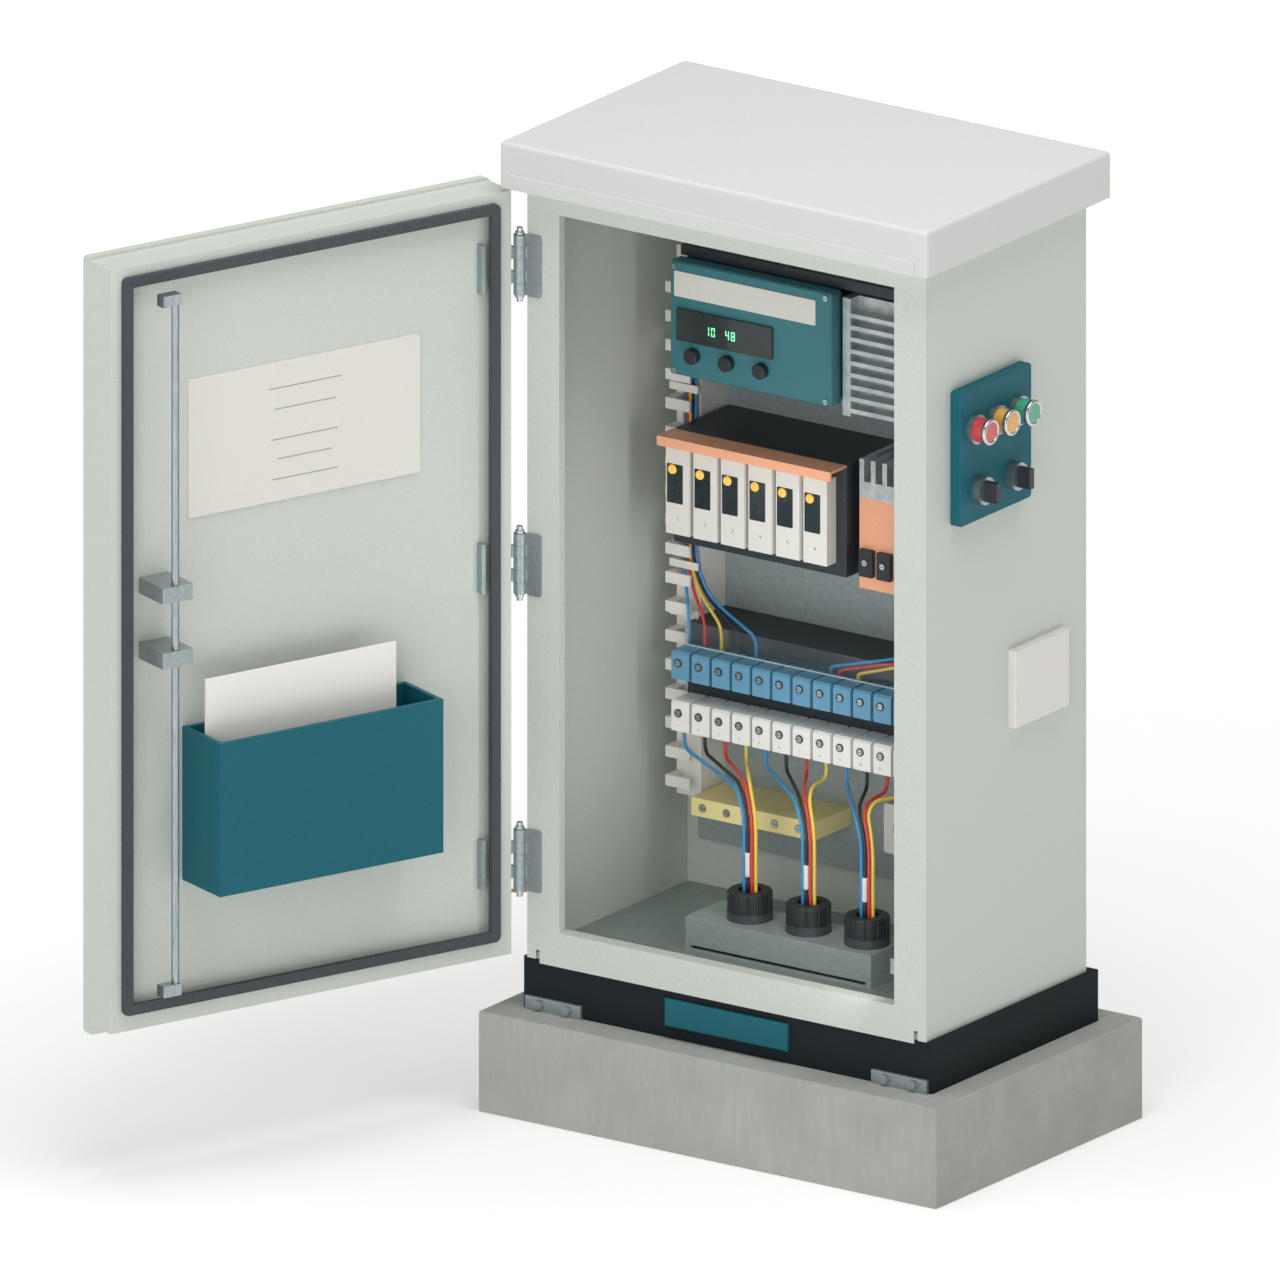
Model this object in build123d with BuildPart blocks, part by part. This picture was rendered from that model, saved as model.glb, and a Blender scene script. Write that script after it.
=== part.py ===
"""A roadside traffic signal controller cabinet with its door standing open.

Millimetres, +Z up. The origin is the centre of the plinth's underside, the door faces -Y.
The cabinet stands on a steel base frame on a concrete plinth. Inside, a mounting panel carries
the controller, the relay rack, the power unit, two rows of terminals and the earth bar.
The door's own pieces are drawn with the door shut, in the door's coordinates: X runs from the
hinge axis to the lock side, Y runs into the cabinet. One turn about the hinge axis opens them.
"""
import os
from math import acos, cos, pi, radians, sin, tan

from build123d import *

# Plinth and base frame
plinth_width = 700
plinth_depth = 455
plinth_height = 132
plinth_edge = 3
duct_bore = 100
base_width = 624
base_front = -181
base_back = 183.5
base_height = 68
base_sheet = 3
base_flange = 28
bracket_width = 85
bracket_height = 18
bracket_thick = 5
bracket_inset = 5
bolt_head = 13

# Cabinet body, a folded sheet shell
body_width = 610
body_front = -184
body_back = 167.5
body_height = 1019.5
sheet = 2
front_skirt = 5
notch_width = 6
notch_height = 17
notch_from_side = 13
opening_half = 256
sill_height = 40
header_height = 32.5
jamb_return = 12
sill_return = 20
top_flange = 15
floor_rise = 8.5
stud_radius = 6

# Roof cap
roof_overhang = 22
roof_front = -214.5
roof_back = 192.4
roof_height = 60.5
roof_wall = 2.5
roof_round = 6
roof_band_height = 20
roof_band_step = 1.6

# Mounting panel and what it carries
panel_half = 269.4
panel_bottom = 277.4
panel_top_gap = 59.5
panel_front = 140
panel_thick = 3
tray_half = 222
tray_front = 34
tray_bottom = 1084
tray_height = 13
tray_sheet = 2

controller_left = -222
controller_width = 247
controller_bottom = 933.5
controller_height = 150
controller_front = 10
face_depth = 21
face_wall = 4
face_edge = 2
case_inset = 3
display_left = -209.5
display_width = 146
display_bottom = 981
display_height = 42
display_stand = 4
key_first = -185.4
key_pitch = 52.2
key_level = 963.6
key_radius = 10
key_stand = 10
key_clearance = 0.1
key_flange = 2
face_screw_radius = 3.5
face_screws = ((-214.5, 1076.5), (-214.5, 940), (17, 1076.5), (17, 940))

fin_left = 29
fin_width = 176
fin_bottom = 920
fin_top = 1075
fin_front = 29
fin_rail = 12
fin_depth = 18
slat_count = 9
slat_first = 1053.4
slat_pitch = 15.7
slat_thick = 5.8

rack_left = -222
rack_width = 263.4
rack_bottom = 710
rack_top = 858
rack_front = 20
module_count = 6
module_left = -221
module_pitch = 42
module_width = 36
module_bottom = 726.7
module_top = 839.8
module_depth = 70
module_gap = 0.3
lamp_offset = 10.5
lamp_level = 812
lamp_radius = 6.25
lamp_stand = 4
strip_front = -16
strip_bottom = 845.5
strip_top = 858
strip_wall = 3

power_left = 50.5
power_width = 139.5
power_bottom = 695
power_top = 814
power_front = 52.6
power_sink_top = 836
power_fin_top = 865
power_fin_front = 35
power_fin_back = 110
power_fin_width = 7
power_fin_pitch = 17.5
power_fin_count = 8
cover_depth = 17.6
cover_wall = 2
power_block_first = 54.6
power_block_pitch = 27
power_block_width = 20.5
power_block_count = 5
power_block_bottom = 713
power_block_top = 748
power_block_depth = 8
power_screw_level = 732
power_screw_radius = 4

# Wire duct
duct_left = -265
duct_width = 37
duct_bottom = 352
duct_top = 1075
duct_front = 87
duct_wall = 2.5
finger_count = 18
finger_first = 375.5
finger_pitch = 38.3
finger_height = 14.5
finger_front = 62
finger_web = 13
finger_lip = 4
clamp_levels = (597.5, 661, 894.5)
clamp_height = 10
clamp_front = 71
clamp_thick = 3

# Terminals
terminal_count = 12
terminal_first = -225.2
terminal_pitch = 30.88
terminal_width = 26.5
terminal_front = 18
terminal_back = 50
blue_bottom = 528.6
blue_top = 565.3
white_bottom = 460.5
white_top = 499.9
blue_screw = 550.2
white_screw = 484.4
screw_offset = 10.7
screw_radius = 5
screw_bore_gap = 0.5
screw_bore_depth = 4
screw_proud = 2.5
screw_sunk = 3
rail_depth = 8
rail_half = 15
trunk_left = -228
trunk_right = 150
trunk_bottom = 452
trunk_top = 592
shield_front = 46
shield_thick = 3
shield_top = 596
earth_left = -224
earth_width = 188
earth_front = 60
earth_bottom = 337.5
earth_top = 361
earth_screws = (-207, -170.3, -134, -97, -61)
socket_left = 46
socket_width = 70
socket_bottom = 329
socket_top = 394
socket_depth = 45

# Glands and their box
gland_first = -74
gland_pitch = 89.6
gland_count = 3
gland_y = -26.6
gland_box_left = -144.4
gland_box_right = 139
gland_box_front = -67
gland_box_back = 14
gland_box_height = 43.8
gland_box_sheet = 2
gland_slot_rise = 3.5
gland_slot_height = 4
gland_collar_radius = 29
gland_collar_height = 11.7
gland_nut_radius = 28.5
gland_nut_height = 26
gland_lobes = 12
gland_bore = 15

# Wires
wire_radius = 2.25
duct_wire_radius = 2
loom_spacing = 6
duct_wire_pitch = 4.3
lead_sag = 6

# Outside of the cabinet
side_panel_front = -131
side_panel_depth = 157
side_panel_bottom = 867
side_panel_height = 177.5
side_panel_stand = 15
side_panel_wall = 2
lamp_first = -99.5
lamp_spacing = 47
lamp_height = 990
bezel_radius = 19
bezel_depth = 7
lens_radius = 16
lens_stand = 26
selector_first = -89
selector_spacing = 72.5
selector_height = 907
collar_radius = 18
collar_depth = 12
selector_shaft = 5
selector_clearance = 0.2
grip_length = 27
grip_width = 10
grip_depth = 18
id_plate_front = -3
id_plate_width = 119
id_plate_bottom = 567
id_plate_height = 102.5
id_plate_thick = 10.7
name_plate_half = 94
name_plate_bottom = 149
name_plate_height = 36
name_plate_thick = 7

# Door and hinges
hinge_x = -body_width / 2 - 8
hinge_y = body_front - 5
door_open = 112
barrel_radius = 8
pin_radius = 4
pin_clearance = 0.05
knuckle = 16
knuckle_gap = 0.3
knuckle_count = 5
pin_proud = 9
hinge_low_rise = 129
hinge_high_gap = 106
hinge_middle_drop = 1.75
leaf_thick = 3
leaf_height = 82
body_leaf_width = 22
door_leaf_width = 36
door_near = 10.5
door_far_margin = 1
pan_bottom = 205
pan_top_gap = 7.5
pan_inner = -3
pan_rim = 21
pan_sheet = 2
pan_skin = -13
pan_outer = -53
slab_thick = 15
slab_bottom = 190
slab_top_gap = 3.5
gasket_width = 13.5
gasket_gap = 0.5
gasket_side_overlap = 26
gasket_overlap = 13
gasket_corner = 8

pocket_left = 162.6
pocket_width = 334.7
pocket_bottom = 386.5
pocket_height = 202.3
pocket_front = 74
pocket_wall = 6
card_left = 204
card_width = 285
card_top = 660
card_y = 26
card_thick = 3

rod_t = 541
rod_q = 38
rod_radius = 5
rod_clearance = 0.15
rod_bottom = 262
rod_top_gap = 42.5
guide_left = 519
guide_right = 563
guide_front = 45
guide_bottom = 690
guide_top = 711.5
lock_bottom = 776
lock_top = 797
end_block_left = 536
end_block_back = 30
end_block_height = 15
tooth_module = 1
pinion_teeth = 15
pinion_width = 9
pinion_clearance = 0.3
spindle_radius = 4
handle_length = 115
handle_width = 22
handle_thick = 12
rose_radius = 22
rose_depth = 6
keeper_width = 14
keeper_bottom = 276
keeper_rise = 20
keeper_thick = 6
keeper_foot = 3

# Levels and planes that follow from the sizes above
base_top = plinth_height + base_height
body_top = base_top + body_height
body_side = body_width / 2
panel_top = body_top - panel_top_gap
pan_top = body_top - pan_top_gap
slab_top = body_top - slab_top_gap
rod_top = body_top - rod_top_gap
hinge_low = base_top + hinge_low_rise
hinge_high = body_top - hinge_high_gap
hinge_levels = (hinge_low, (hinge_low + hinge_high) / 2 - hinge_middle_drop, hinge_high)
floor_top = base_top + floor_rise
opening_bottom = base_top + sill_height
opening_top = body_top - header_height
roof_bottom = body_top
roof_side = body_side + roof_overhang
panel_back = panel_front + panel_thick
face_back = controller_front + face_depth
gland_box_top = floor_top + gland_box_height
trunk_front = terminal_back + rail_depth
door_far = body_width + door_far_margin
door_place = Location((hinge_x, hinge_y, 0), (0, 0, -door_open))
gland_centres = [gland_first + gland_pitch * number for number in range(gland_count)]

os.makedirs("parts", exist_ok=True)


def slab(x, y, z, mode=Mode.ADD):
    """A straight block between two limits along each axis, in the part being built."""
    size = [limits[1] - limits[0] for limits in (x, y, z)]
    centre = tuple((limits[0] + limits[1]) / 2 for limits in (x, y, z))
    with Locations(centre):
        Box(*size, mode=mode)


def rod_along(axis, centre, radius, start, end, mode=Mode.ADD):
    """A round bar along X, Y or Z from start to end. centre gives the other two coordinates."""
    middle = (start + end) / 2
    if axis == "X":
        place = Location((middle, centre[0], centre[1]), (0, 90, 0))
    elif axis == "Y":
        place = Location((centre[0], middle, centre[1]), (90, 0, 0))
    else:
        place = Location((centre[0], centre[1], middle))
    with Locations(place):
        Cylinder(radius, abs(end - start), mode=mode)


def save(part, label, place=None):
    """Label a finished piece, set it in its place and write its file."""
    if place is not None:
        part = part.moved(place)
    part.label = label
    export_step(part, f"parts/{label}.step")


def bend_radii(points):
    """Radius of each inner bend: 0.45 of the shorter run beside it over tan of half its turn."""
    radii = []
    for before, here, after in zip(points, points[1:], points[2:]):
        incoming = Vector(*here) - Vector(*before)
        outgoing = Vector(*after) - Vector(*here)
        turn = acos(incoming.normalized().dot(outgoing.normalized()))
        radii.append(0.45 * min(incoming.length, outgoing.length) / tan(turn / 2))
    return radii


def wire(points, radius, name):
    """A round wire through its points, each bend rounded; prints the radius of each bend."""
    radii = bend_radii(points)
    print(name, "bend radii", [round(value, 1) for value in radii])
    with BuildLine() as route:
        FilletPolyline(*points, radius=radii)
    with BuildSketch(Plane(origin=points[0], z_dir=route.line % 0)) as section:
        Circle(radius)
    sweep(sections=section.sketch, path=route.line)


# Concrete plinth with the duct that the street cables come up through
with BuildPart() as plinth:
    with BuildSketch():
        RectangleRounded(plinth_width, plinth_depth, plinth_edge)
    extrude(amount=plinth_height)
    chamfer(plinth.faces().sort_by(Axis.Z)[-1].edges(), plinth_edge * 0.7)
    rod_along("Z", (0, gland_y), duct_bore / 2, -1, plinth_height + 1, Mode.SUBTRACT)
save(plinth.part, "concrete_plinth")

# Base frame: a folded steel ring with flanges turned in at the top and the bottom
base_depth = base_back - base_front
base_middle = (base_back + base_front) / 2
with BuildPart() as base:
    with BuildSketch(Plane.XY.offset(plinth_height)):
        with Locations((0, base_middle)):
            Rectangle(base_width, base_depth)
            Rectangle(base_width - 2 * base_sheet, base_depth - 2 * base_sheet, mode=Mode.SUBTRACT)
    extrude(amount=base_height)
    for level in (plinth_height, base_top - base_sheet):
        with BuildSketch(Plane.XY.offset(level)):
            with Locations((0, base_middle)):
                Rectangle(base_width, base_depth)
                Rectangle(base_width - 2 * base_flange, base_depth - 2 * base_flange, mode=Mode.SUBTRACT)
        extrude(amount=base_sheet)
save(base.part, "base_frame")

# Galvanised brackets and bolts that tie the base frame to the plinth
bracket_ends = (-base_width / 2 + bracket_inset, base_width / 2 - bracket_inset - bracket_width)
with BuildPart() as fixings:
    for left in bracket_ends:
        slab((left, left + bracket_width), (base_front - bracket_thick, base_front),
             (plinth_height, plinth_height + bracket_height))
        for offset in (bracket_width / 4, bracket_width * 3 / 4):
            with BuildSketch(Plane.XZ.offset(-base_front + bracket_thick)):
                with Locations((left + offset, plinth_height + bracket_height / 2)):
                    RegularPolygon(bolt_head / 2, 6)
            extrude(amount=4)
save(fixings.part, "base_fixings")

# Cabinet body: sides, back and a picture-frame front folded from sheet, open at top and bottom
body_depth = body_back - body_front
body_middle = (body_back + body_front) / 2
frame_half = body_side - notch_from_side
with BuildPart() as body:
    with BuildSketch(Plane.XY.offset(base_top)):
        with Locations((0, body_middle)):
            Rectangle(body_width, body_depth)
            Rectangle(body_width - 2 * sheet, body_depth - 2 * sheet, mode=Mode.SUBTRACT)
    extrude(amount=body_height)
    slab((-frame_half, frame_half), (body_front, body_front + sheet),
         (base_top - front_skirt, base_top + notch_height))
    for side in (-1, 1):
        notch = sorted((side * frame_half, side * (frame_half - notch_width)))
        slab(notch, (body_front - 1, body_front + sheet + 1),
             (base_top - front_skirt - 1, base_top + notch_height - front_skirt), Mode.SUBTRACT)
    with BuildSketch(Plane.XY.offset(body_top - sheet)):
        with Locations((0, body_middle)):
            Rectangle(body_width, body_depth)
            Rectangle(body_width - 2 * top_flange, body_depth - 2 * top_flange, mode=Mode.SUBTRACT)
    extrude(amount=sheet)
    jamb_outer = opening_half + sheet
    slab((-jamb_outer, jamb_outer), (body_front, body_front + jamb_return),
         (opening_bottom, opening_top + sheet))
    slab((-jamb_outer, jamb_outer), (body_front, body_front + sill_return),
         (opening_bottom - sheet, opening_bottom))
    slab((-opening_half, opening_half), (body_front - 1, body_front + sill_return + 1),
         (opening_bottom, opening_top), Mode.SUBTRACT)
    for side in (-1, 1):
        for level in (panel_bottom + 40, (panel_bottom + panel_top) / 2, panel_top - 40):
            rod_along("Y", (side * (panel_half - 25), level), stud_radius, panel_back, body_back - sheet / 2)
save(body.part, "cabinet_body")

# Floor plate: a shallow tray turned upside down on the base frame's top flange
floor_gap = 0.5
with BuildPart() as floor_plate:
    floor_x = (-body_side + sheet + floor_gap, body_side - sheet - floor_gap)
    floor_y = (body_front + sheet + floor_gap, body_back - sheet - floor_gap)
    slab(floor_x, floor_y, (base_top, floor_top))
    slab((floor_x[0] + sheet, floor_x[1] - sheet), (floor_y[0] + sheet, floor_y[1] - sheet),
         (base_top - 1, floor_top - sheet), Mode.SUBTRACT)
    for centre in gland_centres:
        rod_along("Z", (centre, gland_y), gland_bore, floor_top - sheet - 1, floor_top + 1, Mode.SUBTRACT)
save(floor_plate.part, "floor_plate")

# Roof cap: a drawn lid with rounded top edges and a rolled band above its lower lip
roof_middle = (roof_back + roof_front) / 2
roof_depth = roof_back - roof_front
with BuildPart() as roof:
    with BuildSketch(Plane.XY.offset(roof_bottom)):
        with Locations((0, roof_middle)):
            RectangleRounded(2 * roof_side, roof_depth, roof_round)
    extrude(amount=roof_height)
    fillet(roof.faces().sort_by(Axis.Z)[-1].edges(), roof_round * 0.9)
    with BuildSketch(Plane.XY.offset(roof_bottom + roof_wall)):
        with Locations((0, roof_middle)):
            Rectangle(2 * (roof_side - roof_wall), roof_depth - 2 * roof_wall)
    extrude(amount=roof_height - 2 * roof_wall, mode=Mode.SUBTRACT)
    with BuildSketch(Plane.XY.offset(roof_bottom)):
        with Locations((0, body_middle)):
            Rectangle(2 * (body_side - top_flange), body_depth - 2 * top_flange)
    extrude(amount=roof_wall, mode=Mode.SUBTRACT)
    band_half = roof_side - 18
    slab((-band_half, band_half), (roof_front - roof_band_step, roof_front + roof_wall / 2),
         (roof_bottom, roof_bottom + roof_band_height))
    chamfer(roof.edges().filter_by(Axis.X).group_by(Axis.Y)[0].group_by(Axis.Z)[-1], roof_band_step * 0.9)
save(roof.part, "roof")

# Mounting panel on the studs of the back wall
with BuildPart() as panel:
    with BuildSketch(Plane.XZ.offset(-panel_back)):
        with Locations((0, (panel_bottom + panel_top) / 2)):
            RectangleRounded(2 * panel_half, panel_top - panel_bottom, 4)
    extrude(amount=panel_thick)
save(panel.part, "mounting_panel")

# Cable tray over the controller, a channel with its floor up
with BuildPart() as tray:
    slab((-tray_half, tray_half), (tray_front, panel_front), (tray_bottom, tray_bottom + tray_height))
    slab((-tray_half + tray_sheet, tray_half - tray_sheet),
         (tray_front + tray_sheet, panel_front - tray_sheet),
         (tray_bottom - 1, tray_bottom + tray_height - tray_sheet), Mode.SUBTRACT)
save(tray.part, "top_tray")

# Controller: a black case behind a moulded face with a display and three sprung keys
controller_right = controller_left + controller_width
controller_top = controller_bottom + controller_height
key_centres = [key_first + key_pitch * number for number in range(3)]
with BuildPart() as case:
    slab((controller_left + case_inset, controller_right - case_inset), (face_back, panel_front),
         (controller_bottom + case_inset, controller_top - case_inset))
    fillet(case.edges().filter_by(Axis.Y), 3)
save(case.part, "controller_case")

with BuildPart() as face:
    slab((controller_left, controller_right), (controller_front, face_back),
         (controller_bottom, controller_top))
    fillet(face.edges().filter_by(Axis.Y), 3)
    chamfer(face.faces().sort_by(Axis.Y)[0].edges(), face_edge)
    slab((controller_left + face_wall, controller_right - face_wall),
         (controller_front + face_wall, face_back + 1),
         (controller_bottom + face_wall, controller_top - face_wall), Mode.SUBTRACT)
    for centre in key_centres:
        rod_along("Y", (centre, key_level), key_radius + key_flange + 2,
                  controller_front + face_wall - 1, face_back)
        rod_along("Y", (centre, key_level), key_radius + key_flange + 2 * key_clearance,
                  controller_front + face_wall, face_back - 1, Mode.SUBTRACT)
        rod_along("Y", (centre, key_level), key_radius + key_clearance,
                  controller_front - 1, controller_front + face_wall + 1, Mode.SUBTRACT)
    for x, z in face_screws:
        rod_along("Y", (x, z), face_screw_radius, controller_front - 1, controller_front + screw_sunk,
                  Mode.SUBTRACT)
save(face.part, "controller_face")

with BuildPart() as display:
    slab((display_left, display_left + display_width),
         (controller_front - display_stand, controller_front),
         (display_bottom, display_bottom + display_height))
    fillet(display.edges().filter_by(Axis.Y), 2)
save(display.part, "controller_display")

for number, centre in enumerate(key_centres, start=1):
    with BuildPart() as key:
        flange_start = controller_front + face_wall + 0.2
        rod_along("Y", (centre, key_level), key_radius, controller_front - key_stand, flange_start + key_flange)
        rod_along("Y", (centre, key_level), key_radius + key_flange, flange_start, flange_start + key_flange)
        chamfer(key.faces().sort_by(Axis.Y)[0].edges(), 1.2)
    save(key.part, f"controller_key_{number}")

# Finned output unit: a cast body with a rail down its left and nine slats across its front
with BuildPart() as fins:
    fin_right = fin_left + fin_width
    slab((fin_left, fin_right), (fin_front + fin_depth, panel_front), (fin_bottom, fin_top))
    slab((fin_left, fin_left + fin_rail), (fin_front, fin_front + fin_depth), (fin_bottom, fin_top))
    for number in range(slat_count):
        level = slat_first - slat_pitch * number
        slab((fin_left + fin_rail, fin_right), (fin_front, fin_front + fin_depth),
             (level - slat_thick / 2, level + slat_thick / 2))
save(fins.part, "fin_unit")

# Relay rack with six plug-in modules, their lamps and a hood strip
rack_right = rack_left + rack_width
module_lefts = [module_left + module_pitch * number for number in range(module_count)]
with BuildPart() as rack:
    slab((rack_left, rack_right), (rack_front, panel_front), (rack_bottom, rack_top))
    for left in module_lefts:
        slab((left - module_gap, left + module_width + module_gap),
             (rack_front - 1, module_depth), (module_bottom - module_gap, module_top + module_gap),
             Mode.SUBTRACT)
save(rack.part, "rack_case")

with BuildPart() as modules:
    for left in module_lefts:
        with BuildSketch(Plane.XZ.offset(-module_depth)):
            with Locations((left + module_width / 2, (module_bottom + module_top) / 2)):
                Rectangle(module_width, module_top - module_bottom)
        extrude(amount=module_depth)
        rod_along("Y", (left + lamp_offset, lamp_level), lamp_radius, -1, 6, Mode.SUBTRACT)
save(modules.part, "relay_modules")

with BuildPart() as relay_lamps:
    for left in module_lefts:
        rod_along("Y", (left + lamp_offset, lamp_level), lamp_radius, -lamp_stand, 6)
    fillet(relay_lamps.faces().group_by(Axis.Y)[0].edges(), lamp_stand * 0.9)
save(relay_lamps.part, "relay_lamps")

with BuildPart() as strip:
    with BuildSketch(Plane.YZ.offset(rack_left - 2)):
        with BuildLine():
            Polyline((strip_front, strip_bottom), (strip_front, strip_top), (rack_front, strip_top),
                     (rack_front, strip_top - strip_wall), (strip_front + strip_wall, strip_top - strip_wall),
                     (strip_front + strip_wall, strip_bottom), close=True)
        make_face()
    extrude(amount=rack_width + 2)
save(strip.part, "rack_strip")

# Power unit: a grey body under a finned heat sink, with an orange cover and screw terminals
power_right = power_left + power_width
with BuildPart() as power:
    slab((power_left, power_right), (power_front, panel_front), (power_bottom, power_top))
    slab((power_left, power_right), (power_fin_front, panel_front), (power_top, power_sink_top))
    for number in range(power_fin_count):
        left = power_left + power_fin_pitch * number
        slab((left, left + power_fin_width), (power_fin_front, power_fin_back),
             (power_sink_top, power_fin_top))
save(power.part, "power_supply_body")

with BuildPart() as cover:
    slab((power_left, power_right), (power_front - cover_depth, power_front), (power_bottom, power_top))
    slab((power_left + cover_wall, power_right - cover_wall),
         (power_front - cover_depth + cover_wall, power_front + 1),
         (power_bottom + cover_wall, power_top - cover_wall), Mode.SUBTRACT)
save(cover.part, "power_supply_cover")

power_blocks = [power_block_first + power_block_pitch * number for number in range(power_block_count)]
block_back = power_front - cover_depth
with BuildPart() as power_terminals:
    for left in power_blocks:
        slab((left, left + power_block_width), (block_back - power_block_depth, block_back),
             (power_block_bottom, power_block_top))
        rod_along("Y", (left + power_block_width / 2, power_screw_level), power_screw_radius + screw_bore_gap,
                  block_back - power_block_depth - 1, block_back - power_block_depth + screw_sunk,
                  Mode.SUBTRACT)
save(power_terminals.part, "power_terminals")

# Slotted wire duct: a channel with a row of fingers that hold the wires in, and three clamps
with BuildPart() as duct:
    duct_right = duct_left + duct_width
    slab((duct_left, duct_right), (duct_front, panel_front), (duct_bottom, duct_top))
    slab((duct_left + duct_wall, duct_right - duct_wall), (duct_front + duct_wall, panel_front - duct_wall),
         (duct_bottom - 1, duct_top + 1), Mode.SUBTRACT)
    for number in range(finger_count):
        level = finger_first + finger_pitch * number
        slab((duct_left, duct_left + finger_web), (finger_front, duct_front),
             (level - finger_height / 2, level + finger_height / 2))
        slab((duct_left + finger_web, duct_right), (finger_front, finger_front + finger_lip),
             (level - finger_height / 2, level + finger_height / 2))
    for level in clamp_levels:
        slab((duct_left + finger_web - 5, duct_right + 6), (clamp_front, clamp_front + clamp_thick),
             (level - clamp_height / 2, level + clamp_height / 2))
        slab((duct_left, duct_left + finger_web), (clamp_front, duct_front),
             (level - clamp_height / 2, level + clamp_height / 2))
save(duct.part, "wire_duct")

# Terminal trunk with its two top-hat rails
terminal_right = terminal_first + terminal_pitch * (terminal_count - 1) + terminal_width
blue_middle = (blue_bottom + blue_top) / 2
white_middle = (white_bottom + white_top) / 2
with BuildPart() as trunk:
    slab((trunk_left, trunk_right), (trunk_front, panel_front), (trunk_bottom, trunk_top))
    for level in (blue_middle, white_middle):
        slab((terminal_first, terminal_right), (terminal_back, terminal_back + 1.5),
             (level - rail_half, level + rail_half))
        slab((terminal_first, terminal_right), (terminal_back, trunk_front),
             (level - rail_half + 5, level + rail_half - 5))
save(trunk.part, "terminal_trunk")


def terminal_row(bottom, top, screw_level):
    """A row of terminal blocks, hooked over their rail, each with a bore for its screw."""
    hook = 2.5
    shoulder = 3
    for number in range(terminal_count):
        left = terminal_first + terminal_pitch * number
        with BuildSketch(Plane.YZ.offset(left)) as outline:
            with BuildLine():
                Polyline((terminal_front, bottom), (terminal_front, top - shoulder),
                         (terminal_front + shoulder, top), (trunk_front - 0.3, top),
                         (trunk_front - 0.3, top - hook), (terminal_back, top - hook),
                         (terminal_back, bottom), close=True)
            make_face()
        extrude(outline.sketch, amount=terminal_width)
        rod_along("Y", (left + screw_offset, screw_level), screw_radius + screw_bore_gap,
                  terminal_front - 1, terminal_front + screw_bore_depth, Mode.SUBTRACT)


with BuildPart() as blue_row:
    terminal_row(blue_bottom, blue_top, blue_screw)
save(blue_row.part, "terminals_blue")

with BuildPart() as white_row:
    terminal_row(white_bottom, white_top, white_screw)
save(white_row.part, "terminals_white")

with BuildPart() as shield:
    slab((terminal_first, terminal_right), (shield_front, shield_front + shield_thick),
         (blue_top, shield_top))
save(shield.part, "clear_shield")

# Earth bar and socket outlet
with BuildPart() as earth_bar:
    slab((earth_left, earth_left + earth_width), (earth_front, panel_front), (earth_bottom, earth_top))
    for centre in earth_screws:
        rod_along("Y", (centre, (earth_bottom + earth_top) / 2), screw_radius + screw_bore_gap,
                  earth_front - 1, earth_front + screw_bore_depth, Mode.SUBTRACT)
save(earth_bar.part, "earth_bar")

with BuildPart() as socket:
    slab((socket_left, socket_left + socket_width), (panel_front - socket_depth, panel_front),
         (socket_bottom, socket_top))
    fillet(socket.edges().filter_by(Axis.Y), 4)
    socket_middle = (socket_left + socket_width / 2, (socket_bottom + socket_top) / 2)
    rod_along("Y", socket_middle, 21, panel_front - socket_depth - 1, panel_front - socket_depth + 14,
              Mode.SUBTRACT)
    for offset in (-9.5, 9.5):
        rod_along("Y", (socket_middle[0] + offset, socket_middle[1]), 2.5,
                  panel_front - socket_depth + 10, panel_front - socket_depth + 32, Mode.SUBTRACT)
save(socket.part, "socket_outlet")


def screw(x, z, seat, radius=screw_radius):
    """A cheese-head screw seen from the front, its slotted head standing on the seat at Y."""
    rod_along("Y", (x, z), radius, seat - screw_proud, seat + screw_sunk)
    slab((x - radius, x + radius), (seat - 3, seat - 1.2), (z - 0.6, z + 0.6), Mode.SUBTRACT)


# Screws of the terminals, the earth bar, the controller face and the power unit
with BuildPart() as screws:
    for number in range(terminal_count):
        x = terminal_first + terminal_pitch * number + screw_offset
        screw(x, blue_screw, terminal_front + screw_bore_depth - screw_sunk)
        screw(x, white_screw, terminal_front + screw_bore_depth - screw_sunk)
    for x in earth_screws:
        screw(x, (earth_bottom + earth_top) / 2, earth_front + screw_bore_depth - screw_sunk)
    for x, z in face_screws:
        screw(x, z, controller_front, face_screw_radius)
    for left in power_blocks:
        screw(left + power_block_width / 2, power_screw_level, block_back - power_block_depth,
              power_screw_radius)
save(screws.part, "steel_screws")

# Gland box: a folded tray upside down on the floor, slotted at the front, bored for three glands
with BuildPart() as gland_box:
    slab((gland_box_left, gland_box_right), (gland_box_front, gland_box_back), (floor_top, gland_box_top))
    slab((gland_box_left + gland_box_sheet, gland_box_right - gland_box_sheet),
         (gland_box_front + gland_box_sheet, gland_box_back - gland_box_sheet),
         (floor_top - 1, gland_box_top - gland_box_sheet), Mode.SUBTRACT)
    slab((gland_box_left + 8, gland_box_right - 8), (gland_box_front - 1, gland_box_front + 3),
         (floor_top + gland_slot_rise, floor_top + gland_slot_rise + gland_slot_height), Mode.SUBTRACT)
    for centre in gland_centres:
        rod_along("Z", (centre, gland_y), gland_bore, gland_box_top - 3, gland_box_top + 1, Mode.SUBTRACT)
save(gland_box.part, "gland_box")

# Cable glands: a collar on the box and a lobed nut on top, bored through
collar_top = gland_box_top + gland_collar_height
with BuildPart() as gland_bodies:
    for centre in gland_centres:
        rod_along("Z", (centre, gland_y), gland_collar_radius, gland_box_top, collar_top)
        rod_along("Z", (centre, gland_y), gland_bore, gland_box_top - 1, collar_top + 1, Mode.SUBTRACT)
save(gland_bodies.part, "gland_bodies")

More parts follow.
